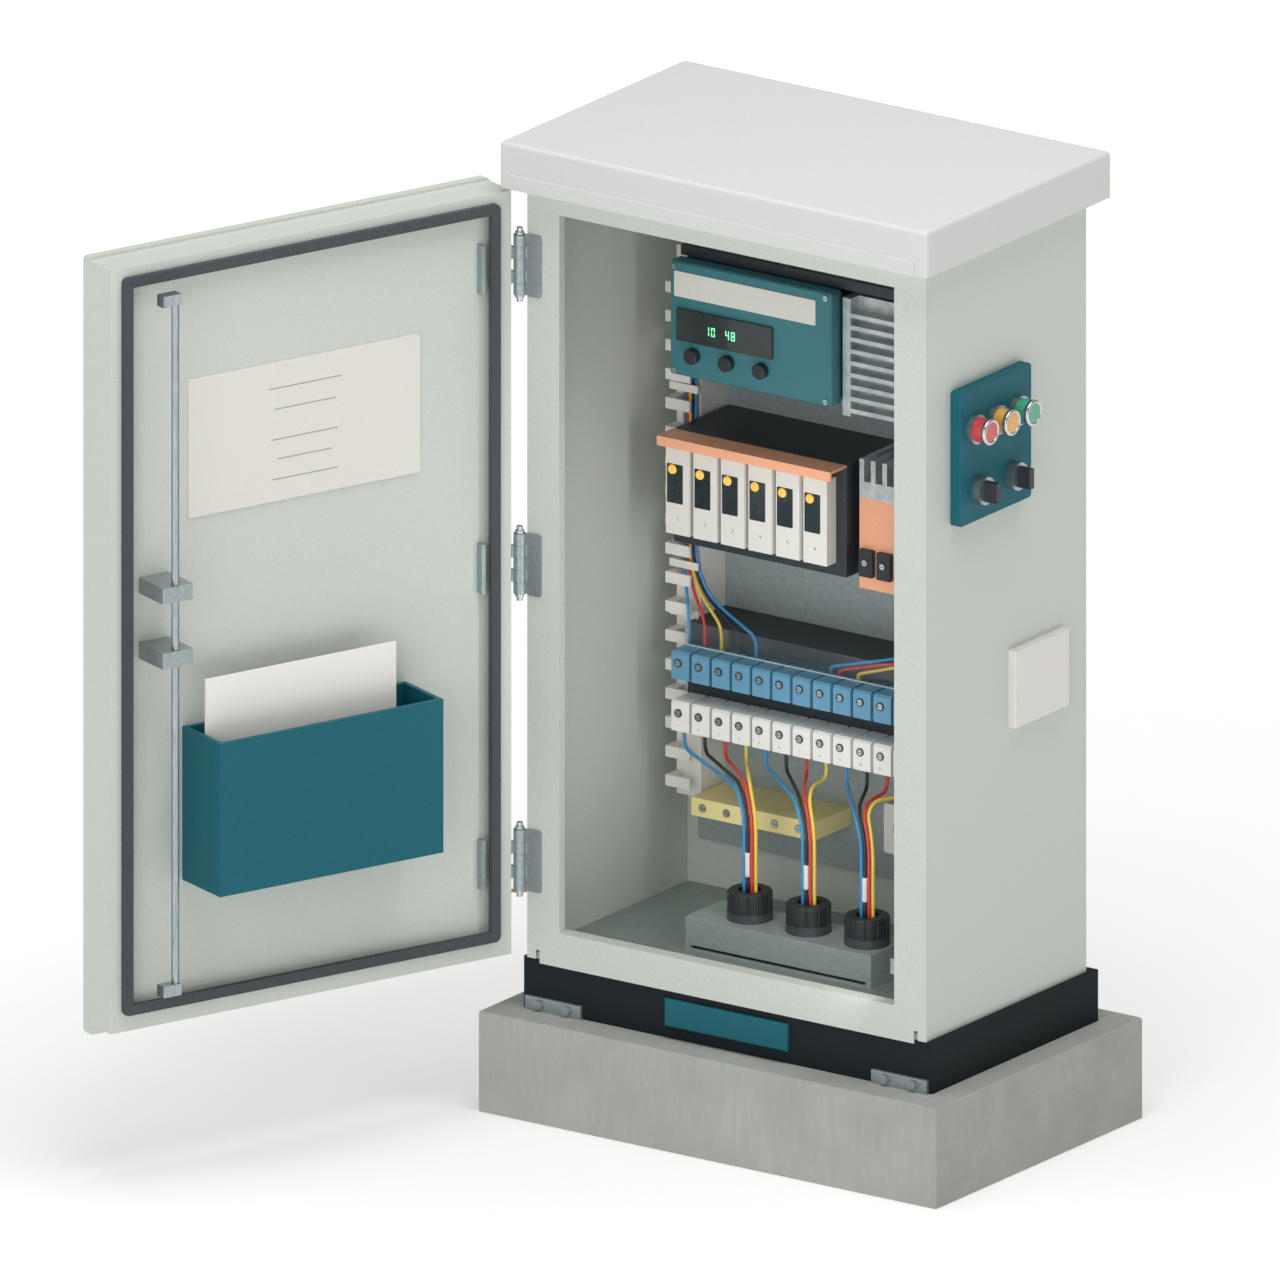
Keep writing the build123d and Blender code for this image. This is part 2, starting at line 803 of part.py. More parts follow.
with BuildPart() as gland_nuts:
    for centre in gland_centres:
        with BuildSketch(Plane.XY.offset(collar_top)):
            with Locations((centre, gland_y)):
                Circle(gland_nut_radius)
                Circle(gland_bore, mode=Mode.SUBTRACT)
                with PolarLocations(gland_nut_radius + 0.6, gland_lobes):
                    Circle(2, mode=Mode.SUBTRACT)
        extrude(amount=gland_nut_height)
    chamfer(gland_nuts.faces().group_by(Axis.Z)[-1].edges().filter_by(
        lambda edge: edge.radius == gland_nut_radius if edge.geom_type == GeomType.CIRCLE else False), 2)
save(gland_nuts.part, "gland_nuts")

# Field wires: each loom's four wires drop from the white terminals, run forward to their gland
# and go down through it
loom_drop = 434
loom_gather = (421, 427, 433, 438)
loom_lead = -11
loom_straight = 385
wire_end = floor_top + 8
loom_shift = (9, 9.2, 9.1, 10.5, 9.3, 9.9, 10.3, 9.6, 9.5, 10.2, 9.9, 10)
colours = ("blue", "black", "red", "yellow")
loom_offsets = [loom_spacing * (number - 1.5) for number in range(4)]


def field_wires(colour):
    """The field wires of one colour, one in each loom."""
    position = colours.index(colour)
    for loom, centre in enumerate(gland_centres):
        number = 4 * loom + position
        start_x = terminal_first + terminal_pitch * number + loom_shift[number]
        end_x = centre + loom_offsets[position]
        start_y = (terminal_front + terminal_back) / 2
        points = [(start_x, start_y, white_bottom), (start_x, start_y, loom_drop),
                  (end_x + loom_lead, gland_y, loom_gather[position]), (end_x, gland_y, loom_straight),
                  (end_x, gland_y, wire_end)]
        wire(points, wire_radius, f"{colour} field wire {loom + 1}")


# Wires that leave the duct for the blue terminals. Their upper ends turn right to the controller
duct_ends = (-223, -198.5, -173, -147, -120)
duct_y = 80
hook_y = 53.5


def duct_wire(position):
    """One of the five wires that rise through the duct, counted from the left."""
    x = duct_left + finger_web + 4.4 + duct_wire_pitch * position
    points = [(duct_ends[position], hook_y, blue_top), (duct_ends[position], hook_y, 600 - 2 * position),
              (x, duct_y, 652 - 5 * position), (x, duct_y, 1066 - 6 * position),
              (controller_left + case_inset, duct_y, 1066 - 6 * position)]
    wire(points, duct_wire_radius, f"duct wire {position + 1}")


# Wires from the power unit's underside to the blue terminals
supply_starts = {"blue": -6, "red": 8, "yellow": 36}
supply_ends = {"blue": 98, "red": 112, "yellow": 126}
supply_lifts = {"blue": 2, "red": 0, "yellow": 0}


def supply_wire(colour):
    """The power unit's wire of one colour."""
    start_x = supply_starts[colour]
    end_x = supply_ends[colour]
    lift = supply_lifts[colour]
    points = [(start_x, hook_y, blue_top), (start_x, hook_y, 573 + lift), (end_x, hook_y, 603 + lift),
              (end_x, 60, 625), (end_x, 60, power_bottom)]
    wire(points, duct_wire_radius, f"{colour} supply wire")


with BuildPart() as wires_blue:
    field_wires("blue")
    duct_wire(0)
    duct_wire(4)
    supply_wire("blue")
save(wires_blue.part, "wires_blue")

with BuildPart() as wires_black:
    field_wires("black")
    duct_wire(3)
save(wires_black.part, "wires_black")

with BuildPart() as wires_red:
    field_wires("red")
    duct_wire(1)
    supply_wire("red")
save(wires_red.part, "wires_red")

with BuildPart() as wires_yellow:
    field_wires("yellow")
    duct_wire(2)
    supply_wire("yellow")
save(wires_yellow.part, "wires_yellow")

# Side control panel with three signal lamps and two selectors
side_panel_face = body_side + side_panel_stand
lamp_ys = [lamp_first + lamp_spacing * number for number in range(3)]
selector_ys = [selector_first + selector_spacing * number for number in range(2)]
side_panel_top = side_panel_bottom + side_panel_height
with BuildPart() as control_panel:
    slab((body_side, side_panel_face), (side_panel_front, side_panel_front + side_panel_depth),
         (side_panel_bottom, side_panel_top))
    fillet(control_panel.edges().filter_by(Axis.X), 5)
    fillet(control_panel.faces().sort_by(Axis.X)[-1].edges(), 1.5)
    slab((body_side - 1, side_panel_face - side_panel_wall),
         (side_panel_front + 4, side_panel_front + side_panel_depth - 4),
         (side_panel_bottom + 4, side_panel_top - 4), Mode.SUBTRACT)
    for y in selector_ys:
        rod_along("X", (y, selector_height), selector_shaft + selector_clearance,
                  side_panel_face - side_panel_wall - 1, side_panel_face + 1, Mode.SUBTRACT)
save(control_panel.part, "control_panel")

with BuildPart() as bezels:
    for y in lamp_ys:
        rod_along("X", (y, lamp_height), bezel_radius, side_panel_face, side_panel_face + bezel_depth)
        rod_along("X", (y, lamp_height), lens_radius, side_panel_face - 1, side_panel_face + bezel_depth + 1,
                  Mode.SUBTRACT)
    for y in selector_ys:
        rod_along("X", (y, selector_height), collar_radius, side_panel_face, side_panel_face + collar_depth)
        rod_along("X", (y, selector_height), selector_shaft + selector_clearance,
                  side_panel_face - 1, side_panel_face + collar_depth + 1, Mode.SUBTRACT)
save(bezels.part, "panel_bezels")

for y, colour in zip(lamp_ys, ("red", "amber", "green")):
    with BuildPart() as lens:
        rod_along("X", (y, lamp_height), lens_radius, side_panel_face, side_panel_face + lens_stand)
        fillet(lens.faces().sort_by(Axis.X)[-1].edges(), 4)
    save(lens.part, f"lamp_{colour}")

for y, name in zip(selector_ys, ("left", "right")):
    collar_face = side_panel_face + collar_depth
    with BuildPart() as selector:
        rod_along("X", (y, selector_height), selector_shaft, side_panel_face - 8, collar_face + 1)
        slab((collar_face + 0.3, collar_face + grip_depth), (y - grip_width / 2, y + grip_width / 2),
             (selector_height - grip_length / 2, selector_height + grip_length / 2))
        fillet(selector.edges().filter_by(Axis.X).filter_by(GeomType.LINE), 2)
    save(selector.part, f"selector_{name}")

# Plates on the side wall and on the base
with BuildPart() as id_plate:
    slab((body_side, body_side + id_plate_thick), (id_plate_front, id_plate_front + id_plate_width),
         (id_plate_bottom, id_plate_bottom + id_plate_height))
    fillet(id_plate.edges().filter_by(Axis.X), 3)
    chamfer(id_plate.faces().sort_by(Axis.X)[-1].edges(), 1.5)
save(id_plate.part, "id_plate")

with BuildPart() as name_plate:
    slab((-name_plate_half, name_plate_half), (base_front - name_plate_thick, base_front),
         (name_plate_bottom, name_plate_bottom + name_plate_height))
    chamfer(name_plate.faces().sort_by(Axis.Y)[0].edges(), 2.5)
save(name_plate.part, "name_plate")

# Hinges: five knuckles on a pin. The body's leaf carries the odd ones, the door's the even ones
hinge_half = knuckle * knuckle_count / 2


def knuckle_span(level, number):
    """Height range of one knuckle of the hinge at a level, with its running gaps."""
    bottom = level - hinge_half + knuckle * number
    return bottom + knuckle_gap / 2, bottom + knuckle - knuckle_gap / 2


with BuildPart() as body_leaves:
    for level in hinge_levels:
        leaf_x = (-body_side + 0.7, -body_side + 0.7 + body_leaf_width)
        with BuildSketch(Plane.XZ.offset(-body_front)):
            with Locations((sum(leaf_x) / 2, level)):
                RectangleRounded(body_leaf_width, leaf_height, 4)
        extrude(amount=leaf_thick)
        for number in (0, 2, 4):
            low, high = knuckle_span(level, number)
            rod_along("Z", (hinge_x, hinge_y), barrel_radius, low, high)
            slab((hinge_x + pin_radius + 2, leaf_x[0] + 4), (body_front - leaf_thick, body_front), (low, high))
        rod_along("Z", (hinge_x, hinge_y), pin_radius, level - hinge_half - 1, level + hinge_half + 1,
                  Mode.SUBTRACT)
save(body_leaves.part, "body_hinge_leaves")

with BuildPart() as pins:
    for level in hinge_levels:
        rod_along("Z", (hinge_x, hinge_y), pin_radius,
                  level - hinge_half - pin_proud, level + hinge_half + pin_proud)
        for end in (-1, 1):
            start = level + end * (hinge_half + 0.5)
            rod_along("Z", (hinge_x, hinge_y), pin_radius + 2, start, start + end * 3)
save(pins.part, "hinge_pins")

bar_near = 49.8
bar_far = 55.4
bar_half = 32.5
with BuildPart() as door_leaves:
    for level in hinge_levels:
        with BuildSketch(Plane.YZ.offset(door_near - leaf_thick)):
            with Locations((-9 - door_leaf_width / 2, level)):
                RectangleRounded(door_leaf_width, leaf_height, 4)
        extrude(amount=leaf_thick)
        for number in (1, 3):
            low, high = knuckle_span(level, number)
            rod_along("Z", (0, 0), barrel_radius, low, high)
            slab((pin_radius + 2, door_near), (-12, -1), (low, high))
        rod_along("Z", (0, 0), pin_radius + pin_clearance, level - hinge_half - 1, level + hinge_half + 1,
                  Mode.SUBTRACT)
        slab((bar_near, bar_far), (pan_skin, -2), (level - bar_half, level + bar_half))
save(door_leaves.part, "door_hinge_leaves", door_place)

# Door: an outer slab, and behind it a pan with a raised rim and a sunk inner skin
pan_x = (door_near, door_far)
with BuildPart() as door:
    slab(pan_x, (pan_outer - slab_thick, pan_outer), (slab_bottom, slab_top))
    fillet(door.edges().filter_by(Axis.Y), 6)
    fillet(door.faces().sort_by(Axis.Y)[0].edges(), 3)
    slab(pan_x, (pan_outer - 1, pan_inner), (pan_bottom, pan_top))
    slab((pan_x[0] + pan_rim, pan_x[1] - pan_rim), (pan_skin, pan_inner + 1),
         (pan_bottom + pan_rim, pan_top - pan_rim), Mode.SUBTRACT)
    slab((pan_x[0] + pan_sheet, pan_x[1] - pan_sheet),
         (pan_outer - slab_thick + pan_sheet, pan_skin - pan_sheet),
         (pan_bottom + pan_sheet, pan_top - pan_sheet), Mode.SUBTRACT)
    spindle_z = (lock_bottom + lock_top) / 2
    pinion_pitch = tooth_module * pinion_teeth / 2
    rack_pitch_t = rod_t - rod_radius + tooth_module
    spindle_t = rack_pitch_t - pinion_pitch
    rod_along("Y", (spindle_t, spindle_z), spindle_radius + 0.3, pan_outer - slab_thick - 1, 0, Mode.SUBTRACT)
save(door.part, "door_panel", door_place)

# Door gasket: a rubber ring that closes on the frame round the opening
gasket_x = (-hinge_x - opening_half - gasket_side_overlap, -hinge_x + opening_half + gasket_side_overlap)
gasket_z = (opening_bottom - gasket_overlap, opening_top + gasket_overlap)
gasket_back = pan_inner
gasket_front = body_front - hinge_y - gasket_gap
with BuildPart() as gasket:
    with BuildSketch(Plane.XZ.offset(-gasket_front)):
        with Locations((sum(gasket_x) / 2, sum(gasket_z) / 2)):
            RectangleRounded(gasket_x[1] - gasket_x[0], gasket_z[1] - gasket_z[0], gasket_corner)
            RectangleRounded(gasket_x[1] - gasket_x[0] - 2 * gasket_width,
                             gasket_z[1] - gasket_z[0] - 2 * gasket_width, 2, mode=Mode.SUBTRACT)
    extrude(amount=gasket_front - gasket_back)
save(gasket.part, "door_gasket", door_place)

# Document pocket, open at the top, with a card standing in it
pocket_x = (pocket_left, pocket_left + pocket_width)
pocket_z = (pocket_bottom, pocket_bottom + pocket_height)
with BuildPart() as pocket:
    slab(pocket_x, (pan_skin, pocket_front), pocket_z)
    slab((pocket_x[0] + pocket_wall, pocket_x[1] - pocket_wall),
         (pan_skin + pocket_wall, pocket_front - pocket_wall), (pocket_z[0] + pocket_wall, pocket_z[1] + 1),
         Mode.SUBTRACT)
save(pocket.part, "document_pocket", door_place)

with BuildPart() as card:
    slab((card_left, card_left + card_width), (card_y, card_y + card_thick),
         (pocket_bottom + pocket_wall, card_top))
save(card.part, "service_card", door_place)

# Lock rod: a round rod with an end block at each end and a rack cut in its flank
root_depth = 2.25 * tooth_module
rod_travel = pinion_pitch * pi / 2
rack_low = spindle_z - rod_travel - 4 * pi * tooth_module
rack_high = spindle_z + 4 * pi * tooth_module
tooth_pitch = pi * tooth_module
with BuildPart() as lock_rod:
    rod_along("Z", (rod_t, rod_q), rod_radius, rod_bottom, rod_top)
    for low in (rod_bottom - end_block_height / 3, rod_top - end_block_height * 2 / 3):
        slab((end_block_left, guide_right), (end_block_back, guide_front), (low, low + end_block_height))
    gaps = int((rack_high - rack_low) / tooth_pitch)
    first_gap = spindle_z - tooth_pitch * (gaps - 4)
    for number in range(gaps):
        level = first_gap + tooth_pitch * number
        tip = rod_t - rod_radius
        with BuildSketch(Plane.XZ.offset(-rod_q - rod_radius - 1)):
            with BuildLine():
                Polyline((tip - 0.5, level - 1.4), (tip + root_depth, level - 0.65),
                         (tip + root_depth, level + 0.65), (tip - 0.5, level + 1.4), close=True)
            make_face()
        extrude(amount=2 * rod_radius + 2, mode=Mode.SUBTRACT)
save(lock_rod.part, "lock_rod", door_place)

# Mid guide of the rod
with BuildPart() as guide:
    slab((guide_left, guide_right), (pan_skin, guide_front), (guide_bottom, guide_top))
    fillet(guide.edges().filter_by(Axis.Z), 2)
    rod_along("Z", (rod_t, rod_q), rod_radius + rod_clearance, guide_bottom - 1, guide_top + 1, Mode.SUBTRACT)
save(guide.part, "rod_guide", door_place)

# Lock case: a housing round the pinion and the rack, with the rose outside the door
cavity_radius = pinion_pitch + 2 * tooth_module
pinion_y = (rod_q - pinion_width / 2, rod_q + pinion_width / 2)
cavity_y = (pinion_y[0] - pinion_clearance, guide_front)
with BuildPart() as lock_case:
    slab((guide_left, guide_right), (pan_skin, guide_front), (lock_bottom, lock_top))
    fillet(lock_case.edges().filter_by(Axis.Z), 2)
    rod_along("Z", (rod_t, rod_q), rod_radius + rod_clearance, lock_bottom - 1, lock_top + 1, Mode.SUBTRACT)
    rod_along("Y", (spindle_t, spindle_z), cavity_radius, cavity_y[0], guide_front - 1, Mode.SUBTRACT)
    rod_along("Y", (spindle_t, spindle_z), spindle_radius + 0.3, pan_skin - 1, cavity_y[0] + 1, Mode.SUBTRACT)
    rose_y = pan_outer - slab_thick
    rod_along("Y", (spindle_t, spindle_z), rose_radius, rose_y - rose_depth, rose_y)
    rod_along("Y", (spindle_t, spindle_z), spindle_radius + 0.3, rose_y - rose_depth - 1, rose_y + 1,
              Mode.SUBTRACT)
save(lock_case.part, "lock_case", door_place)

# Pinion on the spindle, in mesh with the rack
with BuildPart() as pinion:
    with BuildSketch(Plane.XZ.offset(-pinion_y[1])):
        with Locations((spindle_t, spindle_z)):
            Circle(pinion_pitch + tooth_module * 0.75)
            Circle(spindle_radius, mode=Mode.SUBTRACT)
    extrude(amount=pinion_width)
    for number in range(pinion_teeth):
        turn = 360 / pinion_teeth * (number + 0.5)
        with BuildSketch(Plane(origin=(spindle_t, pinion_y[1], spindle_z), x_dir=(
                cos(radians(turn)), 0, sin(radians(turn))), z_dir=(0, -1, 0))):
            with BuildLine():
                Polyline((pinion_pitch + 2, -1.45), (pinion_pitch - 1.3, -0.55), (pinion_pitch - 1.3, 0.55),
                         (pinion_pitch + 2, 1.45), close=True)
            make_face()
        extrude(amount=pinion_width, mode=Mode.SUBTRACT)
save(pinion.part, "latch_pinion", door_place)

# Handle outside the door: a spindle through the door and a lever that hangs down when locked
lever_y = (rose_y - rose_depth - handle_thick - 0.5, rose_y - rose_depth - 0.5)
with BuildPart() as handle:
    rod_along("Y", (spindle_t, spindle_z), spindle_radius, lever_y[0] + 1, pinion_y[1])
    with BuildSketch(Plane.XZ.offset(-lever_y[1])):
        with Locations((spindle_t, spindle_z)):
            Circle(handle_width / 2 + 2)
        with Locations((spindle_t - handle_length / 2, spindle_z)):
            SlotOverall(handle_length + handle_width, handle_width)
    extrude(amount=handle_thick)
    fillet(handle.faces().sort_by(Axis.Y)[0].edges(), 2.5)
save(handle.part, "door_handle", door_place)

# Keeper on the right jamb that the lower end block rises behind
with BuildPart() as keeper:
    keeper_y = body_front + jamb_return
    keeper_z = (keeper_bottom, keeper_bottom + keeper_rise)
    slab((opening_half - keeper_width, opening_half), (keeper_y, keeper_y + keeper_thick), keeper_z)
    slab((opening_half, opening_half + sheet + keeper_thick), (keeper_y, keeper_y + keeper_foot), keeper_z)
save(keeper.part, "rod_keeper")

# Earth lead from the door to the body, a loop below the lower hinge
with BuildPart() as earth_lead:
    lead_z = hinge_levels[0] - hinge_half - 6
    door_end = door_place * Location((door_near - 0.3, -20, lead_z))
    door_bend = door_place * Location((door_near - 12, -20, lead_z))
    lead = [tuple(door_end.position), tuple(door_bend.position),
            (-body_side - 16, body_front + 16, lead_z - lead_sag),
            (-body_side - 10, body_front + 20, lead_z), (-body_side - 0.3, body_front + 20, lead_z)]
    wire(lead, wire_radius, "earth lead")
save(earth_lead.part, "earth_lead")
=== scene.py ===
"""Finishes, printed marks and small trim of a traffic signal controller cabinet with its door open.

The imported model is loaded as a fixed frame. Each operator adds one group of pieces or paints one
group of nodes. Sizes are in millimetres here and become metres where a mesh is made.
"""

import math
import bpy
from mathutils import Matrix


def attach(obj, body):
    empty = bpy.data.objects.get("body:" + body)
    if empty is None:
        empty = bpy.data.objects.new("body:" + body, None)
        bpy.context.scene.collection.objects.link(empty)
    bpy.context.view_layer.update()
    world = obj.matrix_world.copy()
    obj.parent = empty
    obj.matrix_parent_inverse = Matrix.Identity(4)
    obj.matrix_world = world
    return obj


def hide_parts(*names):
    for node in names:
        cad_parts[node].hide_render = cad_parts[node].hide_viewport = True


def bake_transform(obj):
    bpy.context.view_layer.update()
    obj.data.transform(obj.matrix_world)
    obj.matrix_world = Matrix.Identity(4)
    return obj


bl_info = {
    "name": "Signal Controller Cabinet",
    "version": (1, 0, 0),
    "blender": (4, 5, 0),
    "location": "View3D > Sidebar > Cabinet",
    "description": "Finishes and trim of a traffic signal controller cabinet",
    "category": "Object",
}

import bmesh
import bpy
import numpy as np
from mathutils import Matrix, Vector

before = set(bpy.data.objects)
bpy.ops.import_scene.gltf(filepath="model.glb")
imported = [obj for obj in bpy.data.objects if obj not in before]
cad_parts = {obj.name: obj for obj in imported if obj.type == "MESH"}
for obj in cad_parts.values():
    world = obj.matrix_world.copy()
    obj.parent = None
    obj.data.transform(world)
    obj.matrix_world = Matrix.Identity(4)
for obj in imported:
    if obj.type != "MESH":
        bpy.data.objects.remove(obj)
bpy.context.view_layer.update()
MM = 0.001

# Door: the hinge axis in millimetres, and the turn at rest
HINGE = (-313.0, -189.0)
DOOR_TURN = math.radians(-112)

# Places of the CAD nodes that new pieces sit on, in millimetres
TERMINAL_FIRST, TERMINAL_PITCH, TERMINAL_COUNT = -214.5, 30.88, 12
TERMINAL_FACE = 17.9
BLUE_SCREW_LEVEL, WHITE_SCREW_LEVEL = 550.2, 484.4
BLUE_NUMBER_LEVEL, WHITE_NUMBER_LEVEL = 536, 468
MODULE_FIRST, MODULE_PITCH, MODULE_COUNT = -203, 42, 6
MODULE_NUMBER_LEVEL = 747
WINDOW_LEFT, WINDOW_RIGHT = -16, 8
SIDE_LAMP_FIRST, SIDE_LAMP_PITCH, SIDE_LAMP_LEVEL = -99.5, 47, 990
LOOM_FIRST, LOOM_PITCH, LOOM_COUNT, LOOM_Y = -77.5, 89.6, 3, -26.6
DISPLAY_FACE, DISPLAY_LEVEL = 5.9, 1001
DISPLAY_CENTRES = (-162, -153.2, -131.5, -122.7)
LABEL_LINES_CENTRE, CARD_LINES_CENTRE = 315, 346.5
EARTH_LEVEL = 283.0
EARTH_RADIUS = 2.25


def door_place(t, q, z):
    """A point of the shut door's coordinates (t, q, z) at the open door, as an array of points."""
    t, q, z = np.broadcast_arrays(np.asarray(t, float), np.asarray(q, float), np.asarray(z, float))
    x = HINGE[0] + t * math.cos(DOOR_TURN) - q * math.sin(DOOR_TURN)
    y = HINGE[1] + t * math.sin(DOOR_TURN) + q * math.cos(DOOR_TURN)
    return np.stack((x, y, z), axis=-1)


def plain_place(x, y, z):
    """A point of the cabinet's own coordinates, as an array of points."""
    return np.stack(np.broadcast_arrays(np.asarray(x, float), np.asarray(y, float),
                                        np.asarray(z, float)), axis=-1)


# Materials

def linear(code):
    """The linear colour of an sRGB hex value: ((c + 0.055) / 1.055) ** 2.4 above the toe."""
    values = [int(code[place:place + 2], 16) / 255 for place in (1, 3, 5)]
    bent = [value / 12.92 if value <= 0.04045 else ((value + 0.055) / 1.055) ** 2.4 for value in values]
    return (*bent, 1.0)


def add_node(tree, kind, settings=None, links=None):
    """Add a node; settings fill its sockets or properties, links join (node, output) to inputs."""
    made = tree.nodes.new(kind)
    for key, value in (settings or {}).items():
        if isinstance(key, int) or key in made.inputs:
            made.inputs[key].default_value = value
        else:
            setattr(made, key, value)
    for key, (source, output) in (links or {}).items():
        tree.links.new(source.outputs[output], made.inputs[key])
    return made


def new_finish(name):
    """An empty material with its shader, output and Object coordinates."""
    material = bpy.data.materials.new(name)
    material.use_nodes = True
    tree = material.node_tree
    tree.nodes.clear()
    shader = add_node(tree, "ShaderNodeBsdfPrincipled")
    add_node(tree, "ShaderNodeOutputMaterial", links={"Surface": (shader, "BSDF")})
    coords = add_node(tree, "ShaderNodeTexCoord")
    return material, tree, shader, coords


def mottle(tree, coords, low, high, scale, detail=4.0, spread=(0.35, 0.65), stretch=(1, 1, 1)):
    """Two colours mixed by noise of a given scale per metre."""
    place = add_node(tree, "ShaderNodeMapping", {"Scale": stretch}, {"Vector": (coords, "Object")})
    noise = add_node(tree, "ShaderNodeTexNoise", {"Scale": scale, "Detail": detail}, {"Vector": (place, "Vector")})
    ramp = add_node(tree, "ShaderNodeValToRGB", links={"Fac": (noise, "Fac")})
    ramp.color_ramp.elements[0].position = spread[0]
    ramp.color_ramp.elements[1].position = spread[1]
    ramp.color_ramp.elements[0].color = linear(low)
    ramp.color_ramp.elements[1].color = linear(high)
    return ramp


def grain(tree, coords, shader, scale, strength, distance=0.0004, detail=3.0, stretch=(1, 1, 1)):
    """A fine bump on the shader's normal from noise of a given scale per metre."""
    place = add_node(tree, "ShaderNodeMapping", {"Scale": stretch}, {"Vector": (coords, "Object")})
    noise = add_node(tree, "ShaderNodeTexNoise", {"Scale": scale, "Detail": detail}, {"Vector": (place, "Vector")})
    bump = add_node(tree, "ShaderNodeBump", {"Strength": strength, "Distance": distance},
                    {"Height": (noise, "Fac")})
    tree.links.new(bump.outputs["Normal"], shader.inputs["Normal"])
    return noise


def powder_coat(name, low, high, rough=0.5, gloss=0.5):
    """Powder coat on sheet steel: a soft sheen over an even orange peel about 1.2 mm wide."""
    material, tree, shader, coords = new_finish(name)
    colour = mottle(tree, coords, low, high, 420.0)
    tree.links.new(colour.outputs["Color"], shader.inputs["Base Color"])
    shader.inputs["Roughness"].default_value = rough
    shader.inputs["Specular IOR Level"].default_value = gloss
    grain(tree, coords, shader, 830.0, 0.12)
    return material


def galvanised_sheet(name, low="#98A3A6", high="#A9B3B5", rough=0.38, metal=0.7):
    """Hot-dip galvanised sheet: faint spangles about 4 mm wide, each with its own grey."""
    material, tree, shader, coords = new_finish(name)
    cells = add_node(tree, "ShaderNodeTexVoronoi", {"Scale": 250.0}, {"Vector": (coords, "Object")})
    ramp = add_node(tree, "ShaderNodeValToRGB", links={"Fac": (cells, "Color")})
    ramp.color_ramp.elements[0].color = linear(low)
    ramp.color_ramp.elements[1].color = linear(high)
    tree.links.new(ramp.outputs["Color"], shader.inputs["Base Color"])
    shader.inputs["Metallic"].default_value = metal
    shader.inputs["Roughness"].default_value = rough
    grain(tree, coords, shader, 420.0, 0.12)
    return material


def cast_concrete(name):
    """Cast concrete: faintly cloudy, slanting trowel marks 6 mm apart, sand grain and small air holes."""
    material, tree, shader, coords = new_finish(name)
    clouds = mottle(tree, coords, "#ABADA7", "#B6B7B1", 12.0, 8.0, (0.3, 0.7))
    tilt = add_node(tree, "ShaderNodeMapping", {"Rotation": (0.0, 0.6, 0.6), "Scale": (170.0, 25.0, 25.0)},
                    {"Vector": (coords, "Object")})
    strokes = add_node(tree, "ShaderNodeTexNoise", {"Scale": 1.0, "Detail": 5.0}, {"Vector": (tilt, "Vector")})
    stroke_tone = add_node(tree, "ShaderNodeValToRGB", links={"Fac": (strokes, "Fac")})
    stroke_tone.color_ramp.elements[0].position = 0.35
    stroke_tone.color_ramp.elements[0].color = (0.9, 0.9, 0.9, 1)
    stroke_tone.color_ramp.elements[1].position = 0.62
    colour = add_node(tree, "ShaderNodeMixRGB", {"blend_type": "MULTIPLY", "Fac": 0.55},
                      {"Color1": (clouds, "Color"), "Color2": (stroke_tone, "Color")})
    fine = add_node(tree, "ShaderNodeTexNoise", {"Scale": 650.0, "Detail": 4.0}, {"Vector": (coords, "Object")})
    speck = add_node(tree, "ShaderNodeValToRGB", links={"Fac": (fine, "Fac")})
    speck.color_ramp.elements[0].position = 0.35
    speck.color_ramp.elements[0].color = (0.82, 0.82, 0.82, 1)
    speck.color_ramp.elements[1].position = 0.55
    both = add_node(tree, "ShaderNodeMixRGB", {"blend_type": "MULTIPLY", "Fac": 0.6},
                    {"Color1": (colour, "Color"), "Color2": (speck, "Color")})
    tree.links.new(both.outputs["Color"], shader.inputs["Base Color"])
    shader.inputs["Roughness"].default_value = 0.88
    bump = add_node(tree, "ShaderNodeBump", {"Strength": 0.35, "Distance": 0.0008}, {"Height": (fine, "Fac")})
    holes = add_node(tree, "ShaderNodeTexVoronoi", {"Scale": 45.0}, {"Vector": (coords, "Object")})
    pit = add_node(tree, "ShaderNodeMapRange", {"From Min": 0.0, "From Max": 0.09},
                   {"Value": (holes, "Distance")})
    pits = add_node(tree, "ShaderNodeBump", {"Strength": 0.5, "Distance": 0.0012},
                    {"Height": (pit, "Result"), "Normal": (bump, "Normal")})
    tree.links.new(pits.outputs["Normal"], shader.inputs["Normal"])
    return material


def moulded_plastic(name, low, high, rough=0.42):
    """Moulded ABS: an even colour under a fine spark-eroded grain about 0.6 mm wide."""
    material, tree, shader, coords = new_finish(name)
    colour = mottle(tree, coords, low, high, 500.0)
    tree.links.new(colour.outputs["Color"], shader.inputs["Base Color"])
    shader.inputs["Roughness"].default_value = rough
    grain(tree, coords, shader, 1600.0, 0.1, 0.0002)
    return material


def cast_aluminium(name, low="#B4BDBF", high="#CFD6D7"):
    """Cast and bead-blasted aluminium: matt grey metal with a sandy skin of 0.8 mm grain."""
    material, tree, shader, coords = new_finish(name)
    colour = mottle(tree, coords, low, high, 60.0)
    tree.links.new(colour.outputs["Color"], shader.inputs["Base Color"])
    shader.inputs["Metallic"].default_value = 0.55
    shader.inputs["Roughness"].default_value = 0.45
    grain(tree, coords, shader, 1200.0, 0.2, 0.0003)
    return material


